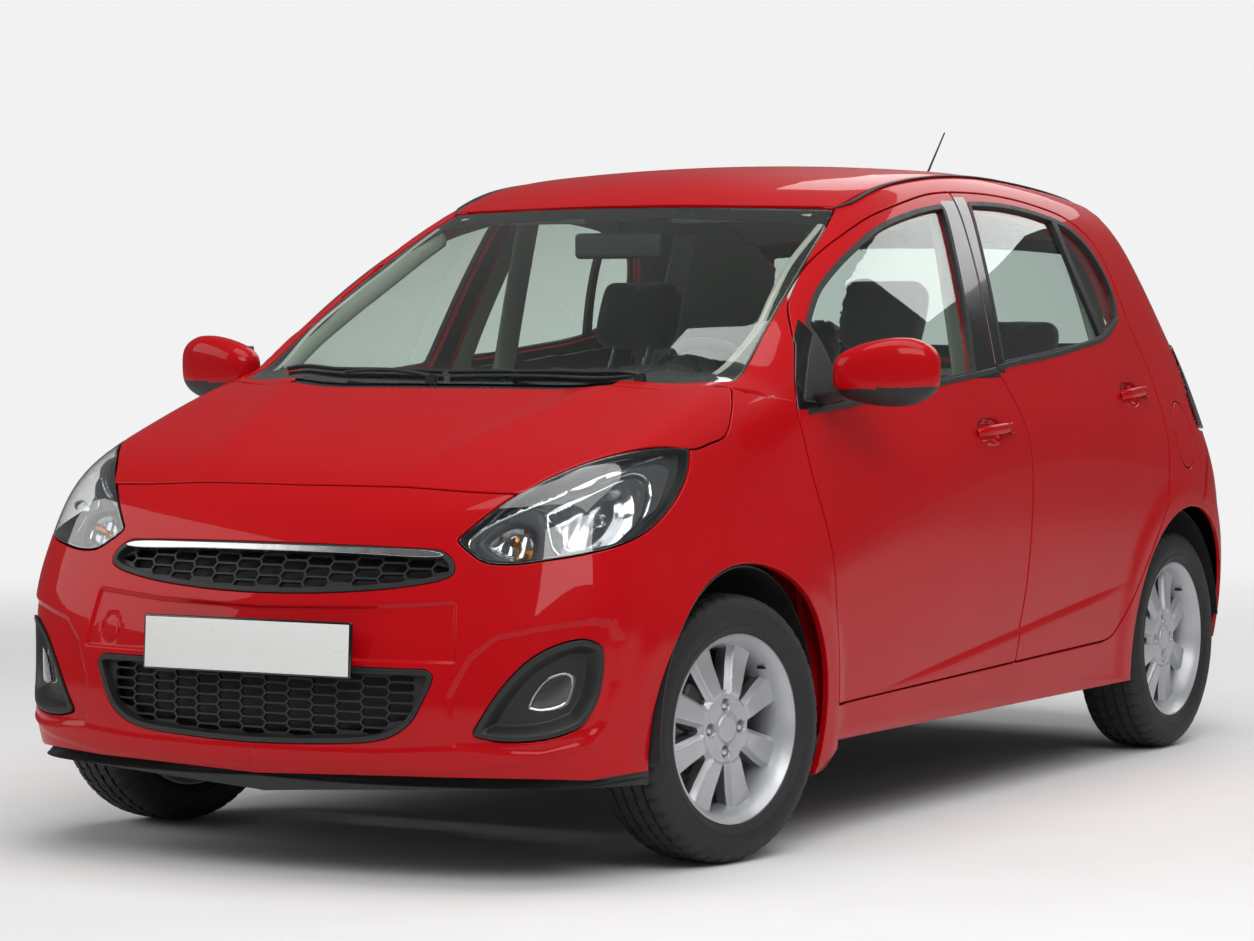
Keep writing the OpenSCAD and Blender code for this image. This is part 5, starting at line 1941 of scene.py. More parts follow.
def gathered(name: str, pieces: Sequence[bpy.types.Object]) -> bpy.types.Object:
    """Several pieces joined as one."""
    clear_selection()
    for piece in pieces:
        piece.select_set(True)
    bpy.context.view_layer.objects.active = pieces[0]
    if len(pieces) > 1:
        bpy.ops.object.join()
    pieces[0].name = name
    return pieces[0]


def mirrored_copy(piece: bpy.types.Object, name: str) -> bpy.types.Object:
    """A copy of a piece on the other side of the car."""
    copy = bpy.data.objects.new(name, piece.data.copy())
    bpy.context.scene.collection.objects.link(copy)
    copy.matrix_world = Matrix.Scale(-1, 4, (1, 0, 0))
    settle(copy)
    return copy


# ---------------------------------------------------------------- lamps


@dataclass
class Lamps:
    """Headlamps, fog lamps and tail lamps."""

    finishes: Finishes
    tray_depth: float = 30.0

    def build(self) -> None:
        """Makes every lamp."""
        self.headlamp()
        self.fog()
        self.tail()

    def headlamp(self) -> None:
        """Makes the headlamp: lens, black edge, stepped tray and bulbs."""
        lamp = Chart.LAMP
        f = self.finishes
        lens = Sheet(lamp, [LINES.headlamp], inner=3.0, gap=2.0, roll=1.6, spacing=14).solid()
        for piece in pair(lens, "headlamp_lens", [f["lens"]]):
            place(piece, "car_body", "clear_lamp")
        edge = Sheet(
            lamp, [LINES.headlamp], [grown(LINES.headlamp, -9)], outer=3.4, inner=40, gap=2.0, roll=0.4, spacing=400
        ).solid()
        bowl = smooth_line([
            (-599, 777), (-577, 791), (-538, 807), (-498, 820), (-457, 830), (-426, 827), (-407, 815), (-398, 791),
            (-402, 762), (-418, 739), (-439, 720), (-463, 709), (-491, 703), (-521, 699), (-551, 699), (-571, 702),
            (-580, 712), (-585, 728), (-587, 748), (-595, 763), (-599, 777)], 9)[:-1]
        ring = smooth_line([
            (-602, 786), (-575, 802), (-530, 820), (-496, 830), (-468, 838), (-422, 846), (-382, 847), (-359, 833),
            (-353, 809), (-361, 780), (-377, 753), (-404, 730), (-440, 708), (-473, 697), (-520, 690), (-575, 692),
            (-592, 706), (-598, 730), (-602, 760), (-602, 786)], 9)[:-1]
        crescent = smooth_line([
            (-545, 826), (-481, 850), (-416, 867), (-369, 872), (-322, 871), (-298, 862), (-292, 847), (-303, 818),
            (-322, 786), (-340, 768), (-366, 757), (-356, 775), (-345, 805), (-350, 838), (-378, 855), (-422, 853),
            (-470, 844), (-545, 826)], 9)[:-1]
        strip_out = smooth_line([
            (-293, 886), (-343, 881), (-416, 866), (-509, 839), (-605, 802), (-681, 770), (-731, 742), (-755, 718),
            (-754, 703), (-740, 688), (-718, 677), (-691, 673), (-644, 679), (-572, 685), (-505, 692), (-440, 703)], 9)
        outward_turn = outward(np.c_[np.zeros(len(strip_out)), strip_out], np.tile([[-1.0, 0, 0]], (len(strip_out), 1)))
        strip = np.concatenate([strip_out, (strip_out - outward_turn[:, 1:] * 8)[::-1][1:-1]])
        turn = smooth_line([
            (-726, 718), (-705, 738), (-684, 752), (-663, 759), (-645, 755), (-630, 743), (-629, 723), (-634, 703),
            (-643, 691), (-667, 686), (-690, 691), (-712, 704), (-726, 718)], 8)[:-1]
        tray = Sheet(
            lamp, [LINES.headlamp], outer=self.tray_depth, inner=self.tray_depth + 60, gap=6.0, roll=0.0, spacing=6.5,
            regions=[(strip, 3), (ring, 1), (bowl, 2), (crescent, 1), (turn, 2)],
            reliefs=[
                Relief(lamp, bowl, -34.0, 44.0), Relief(lamp, ring, 9.0, 10.0), Relief(lamp, crescent, 12.0, 9.0),
                Relief(lamp, turn, -22.0, 26.0), Relief(lamp, strip, 10.0, 7.0),
            ],
        ).solid()
        trays = pair(joined(tray), "headlamp_tray", [f["charcoal"], f["mirror"], f["flutes"], f["mirror"]])
        edges = pair(edge, "headlamp_edge", [f["gloss"]])
        for t, e in zip(trays, edges):
            place(t, "car_body", "clear_lamp", *(["headlamps"] if t is trays[0] else []))
            place(e, "car_body", "clear_lamp")
        for name, at, depth, r, glass in (
            ("main_bulb", (-470, 765), 34, 13, "lens"), ("turn_bulb", (-668, 722), 34, 12, "amber"),
        ):
            self.bulb(name, at, depth, r, glass)

    def bulb(self, name: str, at: Sequence[float], depth: float, radius: float, glass: str) -> None:
        """Makes one bulb.

        Args:
            name: Its name.
            at: Its place in the lamp map.
            depth: How far it stands under the lens.
            radius: Its radius.
            glass: Finish of its glass.
        """
        spot = BODY.lift(Chart.LAMP, np.array([at], float))
        n = BODY.normal(spot)[0]
        middle = spot[0] - n * depth
        matrix = Matrix.Translation(middle) @ Vector(n).to_track_quat("Z", "Y").to_matrix().to_4x4()
        profile = [(radius * 0.5, -40), (radius * 0.6, -12), (radius, -4), (radius, 6), (radius * 0.75, 12),
                   (radius * 0.3, 15)]
        piece = turned(name + "_left", profile, self.finishes[glass], matrix, 28, angle=60)
        place(piece, "car_body", "clear_lamp")
        place(mirrored_copy(piece, name + "_right"), "car_body", "clear_lamp")

    def fog(self) -> None:
        """Makes the black fog lamp bezel, its lamp and lens."""
        f = self.finishes
        lamp, front = Chart.LAMP, Chart.FRONT
        inner = BODY.lay(lamp, grown(LINES.fog, -20))
        bezel = Sheet(
            lamp, [LINES.fog], outer=1.0, inner=8.0, gap=0.6, roll=2.0, spacing=7.5,
            reliefs=[Relief(lamp, inner, -34.0, 26.0)],
        ).solid()
        line = smooth_line([
            (621, 379), (634, 410), (654, 436), (673, 445), (691, 447), (699, 440), (699, 416), (691, 387),
            (674, 377), (642, 373), (621, 379)], 8)[:-1]
        glass = Sheet(front, [line], outer=22.0, inner=25.0, roll=2.0, spacing=9).solid()
        cup = Sheet(
            front, [line], outer=27.0, inner=30.0, roll=2.0, spacing=7, reliefs=[Relief(front, line, -14.0, 34.0)]
        ).solid()
        for i, (a, b, c) in enumerate(zip(
            pair(bezel, "fog_bezel", [f["black"]]), pair(glass, "fog_lens", [f["lens"]]),
            pair(cup, "fog_reflector", [f["mirror"]]),
        )):
            place(a, "car_body", "black_plastic", *([] if i else ["fog_lamps"]))
            place(b, "car_body", "clear_lamp")
            place(c, "car_body", "clear_lamp")

    def tail(self) -> None:
        """Makes the tail lamp: red lens over a mirrored case, with three round fluted reflectors."""
        f = self.finishes
        tail = Chart.TAIL
        lens = Sheet(tail, [LINES.tail_lamp], outer=-5.0, inner=-1.0, gap=2.0, roll=4.0, spacing=14).solid()
        back = Sheet(tail, [LINES.tail_lamp], outer=14.0, inner=60.0, gap=3.0, roll=0.0, spacing=16).solid()
        middle = BODY.lay(tail, LINES.tail_lamp).mean(0)
        lamps = []
        for dz, r in ((62, 34), (-10, 34), (-72, 26)):
            a = np.linspace(0, 2 * np.pi, 36, endpoint=False)
            loop = np.stack([middle[0] - 14 + r * 1.15 * np.cos(a), middle[1] + dz + r * np.sin(a)], -1)
            lamps.append(Sheet(
                tail, [loop], outer=8.0, inner=13.0, roll=2.0, spacing=8, reliefs=[Relief(tail, loop, 5.0, 26.0)],
            ).solid())
        for i, (a, b, c) in enumerate(zip(
            pair(lens, "tail_lamp_lens", [f["ruby"]]), pair(back, "tail_lamp_case", [f["mirror"]]),
            pair(joined(*lamps), "tail_lamp_optics", [f["flutes"]]),
        )):
            place(a, "car_body", "red_lamp", *([] if i else ["tail_lamps"]))
            place(b, "car_body", "red_lamp")
            place(c, "car_body", "red_lamp")


# ---------------------------------------------------------------- front and rear fittings


@dataclass
class Grilles:
    """Upper and lower grilles with their honeycomb and bright strip."""

    finishes: Finishes
    pitch: float = 59.0
    cell: float = 22.0
    apex: float = 3.6
    bar: float = 3.2

    def build(self) -> None:
        """Makes both grilles and the lower lip."""
        f = self.finishes
        front = Chart.FRONT
        nets, frames, backs = [], [], []
        for line in (LINES.upper_grille, LINES.lower_grille):
            frames.append(Sheet(
                front, [grown(line, 1.0)], [grown(line, -11)], outer=-1.0, inner=30.0, roll=2.2, spacing=400
            ).solid())
            inner = grown(line, -8)
            nets.append(Sheet(front, [inner], self.cells(inner), outer=15.0, inner=24.0, roll=0.7, spacing=400).solid())
            backs.append(Sheet(front, [grown(line, -4)], outer=44.0, inner=48.0, roll=0.0, spacing=60).solid())
        place(joined(*frames).build("grille_frames", [f["black"]]), "car_body", "black_plastic", "grilles")
        place(joined(*nets).build("grille_honeycomb", [f["black"]]), "car_body", "black_plastic")
        place(joined(*backs).build("grille_shadow_board", [f["seal"]]), "car_body", "black_plastic")
        strip = np.array([(0, 696), (190, 695), (380, 690), (404, 684), (380, 681), (190, 685), (0, 686)], float)
        half = smooth_line(strip, 14)
        bright = Sheet(front, [flipped(half)], outer=-2.5, inner=9.0, roll=1.8, spacing=400).solid()
        place(bright.build("grille_bright_strip", [f["satin"]]), "car_body", "clear_lamp")
        self.lip()

    def cells(self, line: np.ndarray) -> list[np.ndarray]:
        """Honeycomb openings that fall within an outline.

        Args:
            line: The outline.

        Returns:
            Flat loops.
        """
        edge = BODY.lay(Chart.FRONT, line)
        low, high = edge.min(0), edge.max(0)
        half, tall = self.pitch / 2, self.cell / 2
        b = self.bar / 2
        shape = np.array([
            (-half - self.apex + b, 0), (-half + self.apex + b, -tall + b), (half - self.apex - b, -tall + b),
            (half + self.apex - b, 0), (half - self.apex - b, tall - b), (-half + self.apex + b, tall - b),
        ])
        out = []
        columns = int(high[0] / self.pitch) + 2
        middle = (low[1] + high[1]) / 2
        rows = int((high[1] - low[1]) / self.cell) + 2
        for i in range(-columns, columns + 1):
            for j in range(-rows, rows + 1):
                at = np.array([i * self.pitch, middle + (j + 0.5 * (i % 2)) * self.cell])
                cell = shape + at
                if inside_distance(cell, edge).min() > 0.8:
                    out.append(cell)
                elif inside_distance(at[None], edge)[0] > 3:
                    clipped = self.clip(cell, edge)
                    if clipped is not None:
                        out.append(clipped)
        return out

    def clip(self, cell: np.ndarray, edge: np.ndarray) -> np.ndarray | None:
        """Part of a cell inside the outline, drawn in towards its middle."""
        middle = cell.mean(0)
        out = []
        for corner in cell:
            for t in (1.0, 0.85, 0.7, 0.55, 0.4, 0.25):
                at = middle + (corner - middle) * t
                if inside_distance(at[None], edge)[0] > 1.5:
                    out.append(at)
                    break
        return np.array(out) if len(out) == 6 else None

    def lip(self) -> None:
        """Makes the black lip under the front bumper."""
        nose = Chart.NOSE
        outline = np.array([(-1120, 236), (-900, 206), (0, 182), (900, 206), (1120, 236), (1120, 252), (900, 234),
                            (0, 214), (-900, 234), (-1120, 252)], float)
        cuts = [LINES.front_arch, opposite(LINES.front_arch)]
        lip = Sheet(nose, [outline], cuts, outer=2.0, inner=16.0, gap=2.0, roll=2.5, spacing=30).solid()
        place(lip.build("front_lip", [self.finishes["black"]]), "car_body", "black_plastic")


@dataclass
class Plates:
    """Blank number plates in thin black frames."""

    finishes: Finishes
    size: tuple[float, float] = (526.0, 116.0)

    def build(self) -> None:
        """Makes both plates."""
        for name, y, z, tilt, way in (("front", -1862.0, 491.0, -3.6, -1), ("rear", 1862.0, 480.0, 2.0, 1)):
            turn = Matrix.Rotation(math.radians(tilt), 4, "X")
            w, h = self.size
            frame = block(name + "_plate_frame", (w, 10, h), (0, y, z), self.finishes["gloss"], 4, turn)
            sheet = block(
                name + "_plate_sheet", (w - 10, 3, h - 9), (0, y + way * 4.3, z), self.finishes["plate"], 1.2, turn
            )
            nodes = ["number_plates"] if way < 0 else []
            place(frame, "car_body", "black_plastic", *nodes)
            place(sheet, "car_body", "plate")


@dataclass
class DoorFittings:
    """Pull handles and door mirrors."""

    finishes: Finishes
    handle_length: float = 158.0

    def build(self) -> None:
        """Makes handles and mirrors."""
        for door, y, z in (("front_door", 60.0, 885.0), ("rear_door", 940.0, 950.0)):
            self.handle(door, y, z)
        self.mirrors()

    def handle(self, door: str, y: float, z: float) -> None:
        """Makes one pull bar with its key cap.

        Args:
            door: Door it sits on.
            y: Station of its middle.
            z: Height of its middle.
        """
        t = np.linspace(-1, 1, 27)
        at = np.stack([y + t * self.handle_length / 2, z + 3 * t], -1)
        lift = 19 * (1 - np.abs(t) ** 5) + 1
        skin = BODY.lift(Chart.SIDE, at)
        path = skin + BODY.normal(skin) * lift[:, None]
        radii = np.stack([6.0 + 0 * t, 12.5 - 3.0 * np.abs(t) ** 3], -1)
        bar = swept(path, radii)
        cap = Sheet(
            Chart.SIDE, [disc_line(Chart.SIDE, (y + self.handle_length / 2 + 15, z + 2), (17, 14), 36)],
            outer=-11.0, inner=8.0, roll=4.0, spacing=10,
        ).solid()
        handles = pair(joined(bar, cap), door + "_handle", [self.finishes["red"]])
        for side_name, piece in zip(("left", "right"), handles):
            place(piece, f"{door}_{side_name}", "red_paint")

    def mirrors(self) -> None:
        """Makes the door mirrors: red cap, black lower shell, arm and glass."""
        clear_selection()
        bpy.ops.mesh.primitive_uv_sphere_add(segments=64, ring_count=40, radius=1)
        shell = bpy.context.object
        shell.name = "door_mirror_shell_left"
        points = np.array([v.co for v in shell.data.vertices])
        x, y, z = points.T
        power = 0.62
        bx = np.sign(x) * np.abs(x) ** power
        bz = np.sign(z) * np.abs(z) ** power
        by = np.sign(y) * np.abs(y) ** 0.8
        out = (bx + 1) / 2
        px = 786 + 238 * out
        tall = 60 + 17 * ease(out * 1.6) - 9 * np.clip(out - 0.75, 0, 1) / 0.25
        mid = 1036 + 10 * out
        deep = np.where(by < 0, 62 - 16 * out, 44)
        py = -694 + by * deep + 34 * out**1.5
        pz = mid + bz * tall
        split = 1004 + 0.03 * (px - 786)
        pz = np.where(np.abs(pz - split) < 2.8, split, pz)
        made = np.stack([px, py, pz], -1) * MM
        for vertex, co in zip(shell.data.vertices, made):
            vertex.co = co
        shell.data.materials.append(self.finishes["red"])
        shell.data.materials.append(self.finishes["black"])
        shell.data.materials.append(self.finishes["mirror"])
        for face in shell.data.polygons:
            c = face.center / MM
            low = c.z < 1004 + 0.03 * (c.x - 786)
            rear = c.y > -694 + 34 * ((c.x - 786) / 238) ** 1.5 + 30
            face.material_index = 1 if low or rear else 0
        glass = block("door_mirror_glass_left", (176, 4, 96), (912, -640, 1046), self.finishes["mirror"], 22,
                      Matrix.Rotation(math.radians(9), 4, "Z"), 6)
        smooth(shell, 60)
        path = np.array([(752, -694, 985), (775, -700, 990), (800, -700, 1000), (826, -696, 1012)], float)
        arm = swept(smooth_line(path, 6), np.tile([[34.0, 17.0]], (len(smooth_line(path, 6)), 1)), (0, 0, 1), 28)
        arm_piece = arm.build("door_mirror_arm_left", [self.finishes["black"]])
        base = Sheet(
            Chart.SIDE,
            [trace((Chart.SIDE, [(-600, 978), (-632, 1128)]), (Chart.SIDE, [(-632, 1128), (-715, 1050), (-770, 978)]),
                   (Chart.SIDE, [(-770, 978), (-690, 972), (-600, 978)]), radius=16)],
            outer=-6.0, inner=6.0, roll=4.0, spacing=30,
        ).solid().build("door_mirror_base_left", [self.finishes["black"]])
        for piece, slot in ((shell, "red_paint"), (glass, "window_glass"), (arm_piece, "black_plastic"),
                            (base, "black_plastic")):
            other = mirrored_copy(piece, piece.name.replace("left", "right"))
            if piece in (arm_piece, base):
                other.data.normals_split_custom_set_from_vertices([v.normal for v in other.data.vertices])
            place(piece, "front_door_left", slot, *(["mirror_left"] if piece is shell else []))
            place(other, "front_door_right", slot, *(["mirror_right"] if piece is shell else []))


# ---------------------------------------------------------------- wheels


class Corner(Enum):
    """The four wheels."""

    FRONT_LEFT = "front_left"
    FRONT_RIGHT = "front_right"
    REAR_LEFT = "rear_left"
    REAR_RIGHT = "rear_right"


@dataclass
class Wheels:
    """Spoked wheels, tyres and brakes."""

    finishes: Finishes
    front_y: float = -1157.0
    rear_y: float = 1267.0
    track: float = 720.0
    hub_z: float = 290.0
    pin_x: float = 655.0
    steer: float = -11.5
    spokes: int = 8
    rim: float = 204.0

    def build(self) -> None:
        """Makes the four wheels."""
        face = self.face()
        for corner in Corner:
            self.corner(corner, face)

    def matrix(self, corner: Corner) -> Matrix:
        """Where a corner's wheel stands, outer face along its own +X."""
        side = 1 if "left" in corner.value else -1
        front = "front" in corner.value
        y = self.front_y if front else self.rear_y
        place_it = Matrix.Translation((side * self.track, y, self.hub_z)) @ Matrix.Scale(side, 4, (1, 0, 0))
        if not front:
            return place_it
        pin = Matrix.Translation((side * self.pin_x, y, 0))
        return pin @ Matrix.Rotation(math.radians(self.steer), 4, "Z") @ pin.inverted() @ place_it

    def half_spoke(self, r: float) -> float:
        """Half width of a spoke at a radius."""
        return 13.0 + 16.0 * (r - 48) / 140

    def windows(self) -> list[np.ndarray]:
        """Openings between the spokes."""
        out = []
        for k in range(self.spokes):
            a0 = math.radians(22.5 + 360 / self.spokes * k)
            a1 = a0 + 2 * math.pi / self.spokes
            loop = []
            for r in (80.0, 110.0, 140.0, 165.0, 182.0):
                a = a0 + (self.half_spoke(r) + 8) / r
                loop.append((r * math.cos(a), r * math.sin(a)))
            for t in (0.15, 0.3, 0.5, 0.7, 0.85):
                start, end = a0 + (self.half_spoke(188) + 8) / 188, a1 - (self.half_spoke(188) + 8) / 188
                a = start + (end - start) * t
                loop.append((190 * math.cos(a), 190 * math.sin(a)))
            for r in (182.0, 165.0, 140.0, 110.0, 80.0):
                a = a1 - (self.half_spoke(r) + 8) / r
                loop.append((r * math.cos(a), r * math.sin(a)))
            out.append(np.array(loop))
        return out

    def face(self) -> Solid:
        """The spoked face as one bevelled sheet."""
        holes = self.windows()

        def depth(p: np.ndarray) -> np.ndarray:
            uv = p[:, 1:]
            r = np.linalg.norm(uv, axis=1)
            near = np.min([np.abs(inside_distance(uv, w)) for w in holes], axis=0)
            inside = np.max([inside_distance(uv, w) for w in holes], axis=0)
            flank = 15 * (1 - np.minimum(np.where(inside > 0, 0, near) / 9, 1)) * ease((r - 62) / 14)
            flank = flank * (1 - ease((r - 186) / 6))
            dish = -(52 - 14 * ease((r - 60) / 110) + 8 * ease((r - 184) / 12))
            pocket = np.zeros_like(r)
            for a in (0, math.pi / 2, math.pi, 1.5 * math.pi):
                d = np.hypot(uv[:, 0] - 50 * math.cos(a), uv[:, 1] - 50 * math.sin(a))
                pocket += 18 * (1 - ease((d - 11) / 5))
            groove = 3 * (ease((r - 29) / 2) - ease((r - 33) / 2)) - 3.0 * (1 - ease((r - 27) / 4))
            step = 6 * (ease((r - 33) / 4) - ease((r - 72) / 8)) * 0.4
            return dish + flank + pocket + groove + step

        a = np.linspace(0, 2 * np.pi, 128, endpoint=False)
        rim = np.stack([198 * np.cos(a), 198 * np.sin(a)], -1)
        holes_round = [round_corners(np.c_[w, np.zeros(len(w))], (0, len(w) - 1), 5)[:, :2] for w in holes]
        grid = []
        for r in list(np.arange(4, 30, 4)) + list(np.arange(30, 80, 3.0)) + list(np.arange(80, 198, 6.0)):
            count = max(int(2 * np.pi * r / (3.2 if r < 80 else 6.0)), 8)
            count = int(math.ceil(count / self.spokes) * self.spokes)
            t = np.linspace(0, 2 * np.pi, count, endpoint=False) + math.radians(22.5)
            grid.append(np.stack([r * np.cos(t), r * np.sin(t)], -1))
        rows = np.concatenate([edge_rows(w, (3.0, 6.0, 9.0, 11.0), 5.0) for w in holes_round])
        reach = np.linalg.norm(rows, axis=1)
        rows = rows[(reach > 74) & (reach < 195)]
        return Sheet(
            Chart.SIDE, [rim], holes_round, grid=thinned(np.concatenate(grid), rows, 2.6), outer=depth,
            inner=lambda p: depth(p) + 26, roll=0.8, base=FlatFace(),
        ).solid()

    def corner(self, corner: Corner, face: Solid) -> None:
        """Makes one wheel, its tyre and its brake.

        Args:
            corner: Which wheel.
            face: The spoked face.
        """
        f = self.finishes
        matrix = self.matrix(corner)
        lie = Matrix(((0, 0, 1, 0), (1, 0, 0, 0), (0, 1, 0, 0), (0, 0, 0, 1)))
        name = corner.value
        spoked = face.build("spokes", [f["silver"]])
        settle(spoked, matrix)
        barrel = [
            (204, 75), (204, 70), (196, 64), (190, 52), (186, 30), (178, 10), (176, -30), (184, -58), (196, -66),
            (204, -70), (204, -75), (200, -76), (192, -70), (181, -62), (171, -32), (171, 8), (179, 34), (186, 58),
            (194, 68), (200, 76),
        ]
        rim = turned("rim", barrel, f["silver"], matrix @ lie, 96, closed=True, angle=50)
        nuts = []
        for a in range(4):
            at = Matrix.Translation((0, 50 * math.cos(a * math.pi / 2), 50 * math.sin(a * math.pi / 2)))
            nuts.append(turned("nut", [(9, 26), (9.5, 40), (8.5, 44), (3, 45)], f["satin"], matrix @ at @ lie, 6))
        valve = turned(
            "valve", [(3.4, 30), (3.4, 44), (2.6, 45), (2.6, 50)], f["seal"],
            matrix @ Matrix.Translation((0, 130, 120)) @ lie, 12,
        )
        wheel = gathered(f"wheel_{name}_alloy", [spoked, rim] + nuts + [valve])
        body = f"wheel_{name}"
        place(wheel, body, "alloy", f"wheel_{name}")
        self.tyre(corner, matrix)
        self.brake(corner, matrix @ lie)

    def tyre(self, corner: Corner, matrix: Matrix) -> None:
        """Makes one tyre with four grooves, sipes and a marked sidewall.

        Args:
            corner: Which wheel.
            matrix: Where it stands.
        """
        half = [
            (0.0, 289.6, 1), (6, 289.6, 1), (11, 289.4, 1), (12, 283.0, 0), (18, 283.0, 0), (19, 289.2, 2),
            (30, 288.8, 2), (40, 288.2, 2), (41, 281.8, 0), (47, 281.6, 0), (48, 287.6, 3), (58, 286.2, 3),
            (66, 283.6, 3), (72, 280.0, 3), (77, 275.0, 4), (80, 270.0, 4), (82.6, 264.0, 0), (84.0, 260.5, 0),
            (85.0, 259.0, 0), (85.6, 256.0, 0), (87.2, 250.0, 0), (87.5, 243.0, 0), (87.0, 234.0, 0),
            (85.6, 226.0, 0), (86.6, 223.8, 0), (86.4, 221.6, 0), (83.6, 218.0, 0), (80.0, 211.0, 0),
            (76.5, 206.5, 0), (74.0, 204.6, 0), (66.0, 199.0, 0),
        ]
        count = 240
        rows = half + [(-x, r, k) for x, r, k in half[::-1] if x > 0]
        a = np.linspace(0, 2 * np.pi, count, endpoint=False)
        i = np.arange(count)
        points = np.zeros((len(rows), count, 3))
        for j, (x, r, kind) in enumerate(rows):
            way = 0 if x >= 0 else 2
            cut = np.zeros(count)
            if kind in (1, 2):
                cut = np.where((i + kind + way) % 5 == 0, 4.0, 0.0)
            elif kind == 3:
                cut = np.where((i + way) % 5 == 2, 5.0, 0.0)
            elif kind == 4:
                cut = np.where((i + way) % 5 == 2, 3.5, 0.0)
            rr = r - cut
            skew = 0.6 * math.pi / count * (x / 60) if kind in (1, 2) else 0.0
            points[j] = np.stack([np.full(count, x), rr * np.sin(a + skew), rr * np.cos(a + skew)], -1)
        n = len(rows)
        faces = []
        for j in range(n):
            k = (j + 1) % n
            for m in range(count):
                m2 = (m + 1) % count
                faces.append((j * count + m, k * count + m, k * count + m2, j * count + m2))
        mesh = bpy.data.meshes.new("tyre")
        mesh.from_pydata((points.reshape(-1, 3) * MM).tolist(), [], faces)
        mesh.materials.append(self.finishes["rubber"])
        piece = bpy.data.objects.new(f"tyre_{corner.value}_tread", mesh)
        bpy.context.scene.collection.objects.link(piece)
        clear_selection()
        piece.select_set(True)
        bpy.context.view_layer.objects.active = piece
        bpy.ops.object.mode_set(mode="EDIT")
        bpy.ops.mesh.select_all(action="SELECT")
        bpy.ops.mesh.normals_make_consistent(inside=False)
        bpy.ops.object.mode_set(mode="OBJECT")
        settle(piece, matrix)
        smooth(piece, 32)
        place(piece, f"wheel_{corner.value}", "tyre_rubber", f"tyre_{corner.value}")

    def brake(self, corner: Corner, matrix: Matrix) -> None:
        """Makes the brake disc and caliper, or the rear drum.

        Args:
            corner: Which wheel.
            matrix: Where it stands, with the axle along its Z.
        """
        f = self.finishes
        name = corner.value
        if "front" in name:
            profile = [(118, -6), (120, -4), (120, 4), (118, 6), (74, 6), (70, 8), (68, 24), (60, 26)]
            disc = turned(f"brake_disc_{name}", profile, f["disc"], matrix, 72)
            place(disc, f"wheel_{name}", "cast_metal")
            side = "left" if "left" in name else "right"
            caliper = block(
                f"brake_caliper_{side}", (62, 96, 62), (0, 0, 0), f["cast"], 14,
            )
            settle(caliper, matrix @ Matrix.Rotation(math.radians(150), 4, "Z") @ Matrix.Translation((104, 0, -2)))
            place(caliper, f"knuckle_{side}", "cast_metal")
        else:
            profile = [(104, -30), (108, -26), (108, 8), (102, 13), (60, 15), (56, 22), (34, 24)]
            drum = turned(f"brake_drum_{name}", profile, f["cast"], matrix, 72)
            place(drum, f"wheel_{name}", "cast_metal")


# ---------------------------------------------------------------- cabin


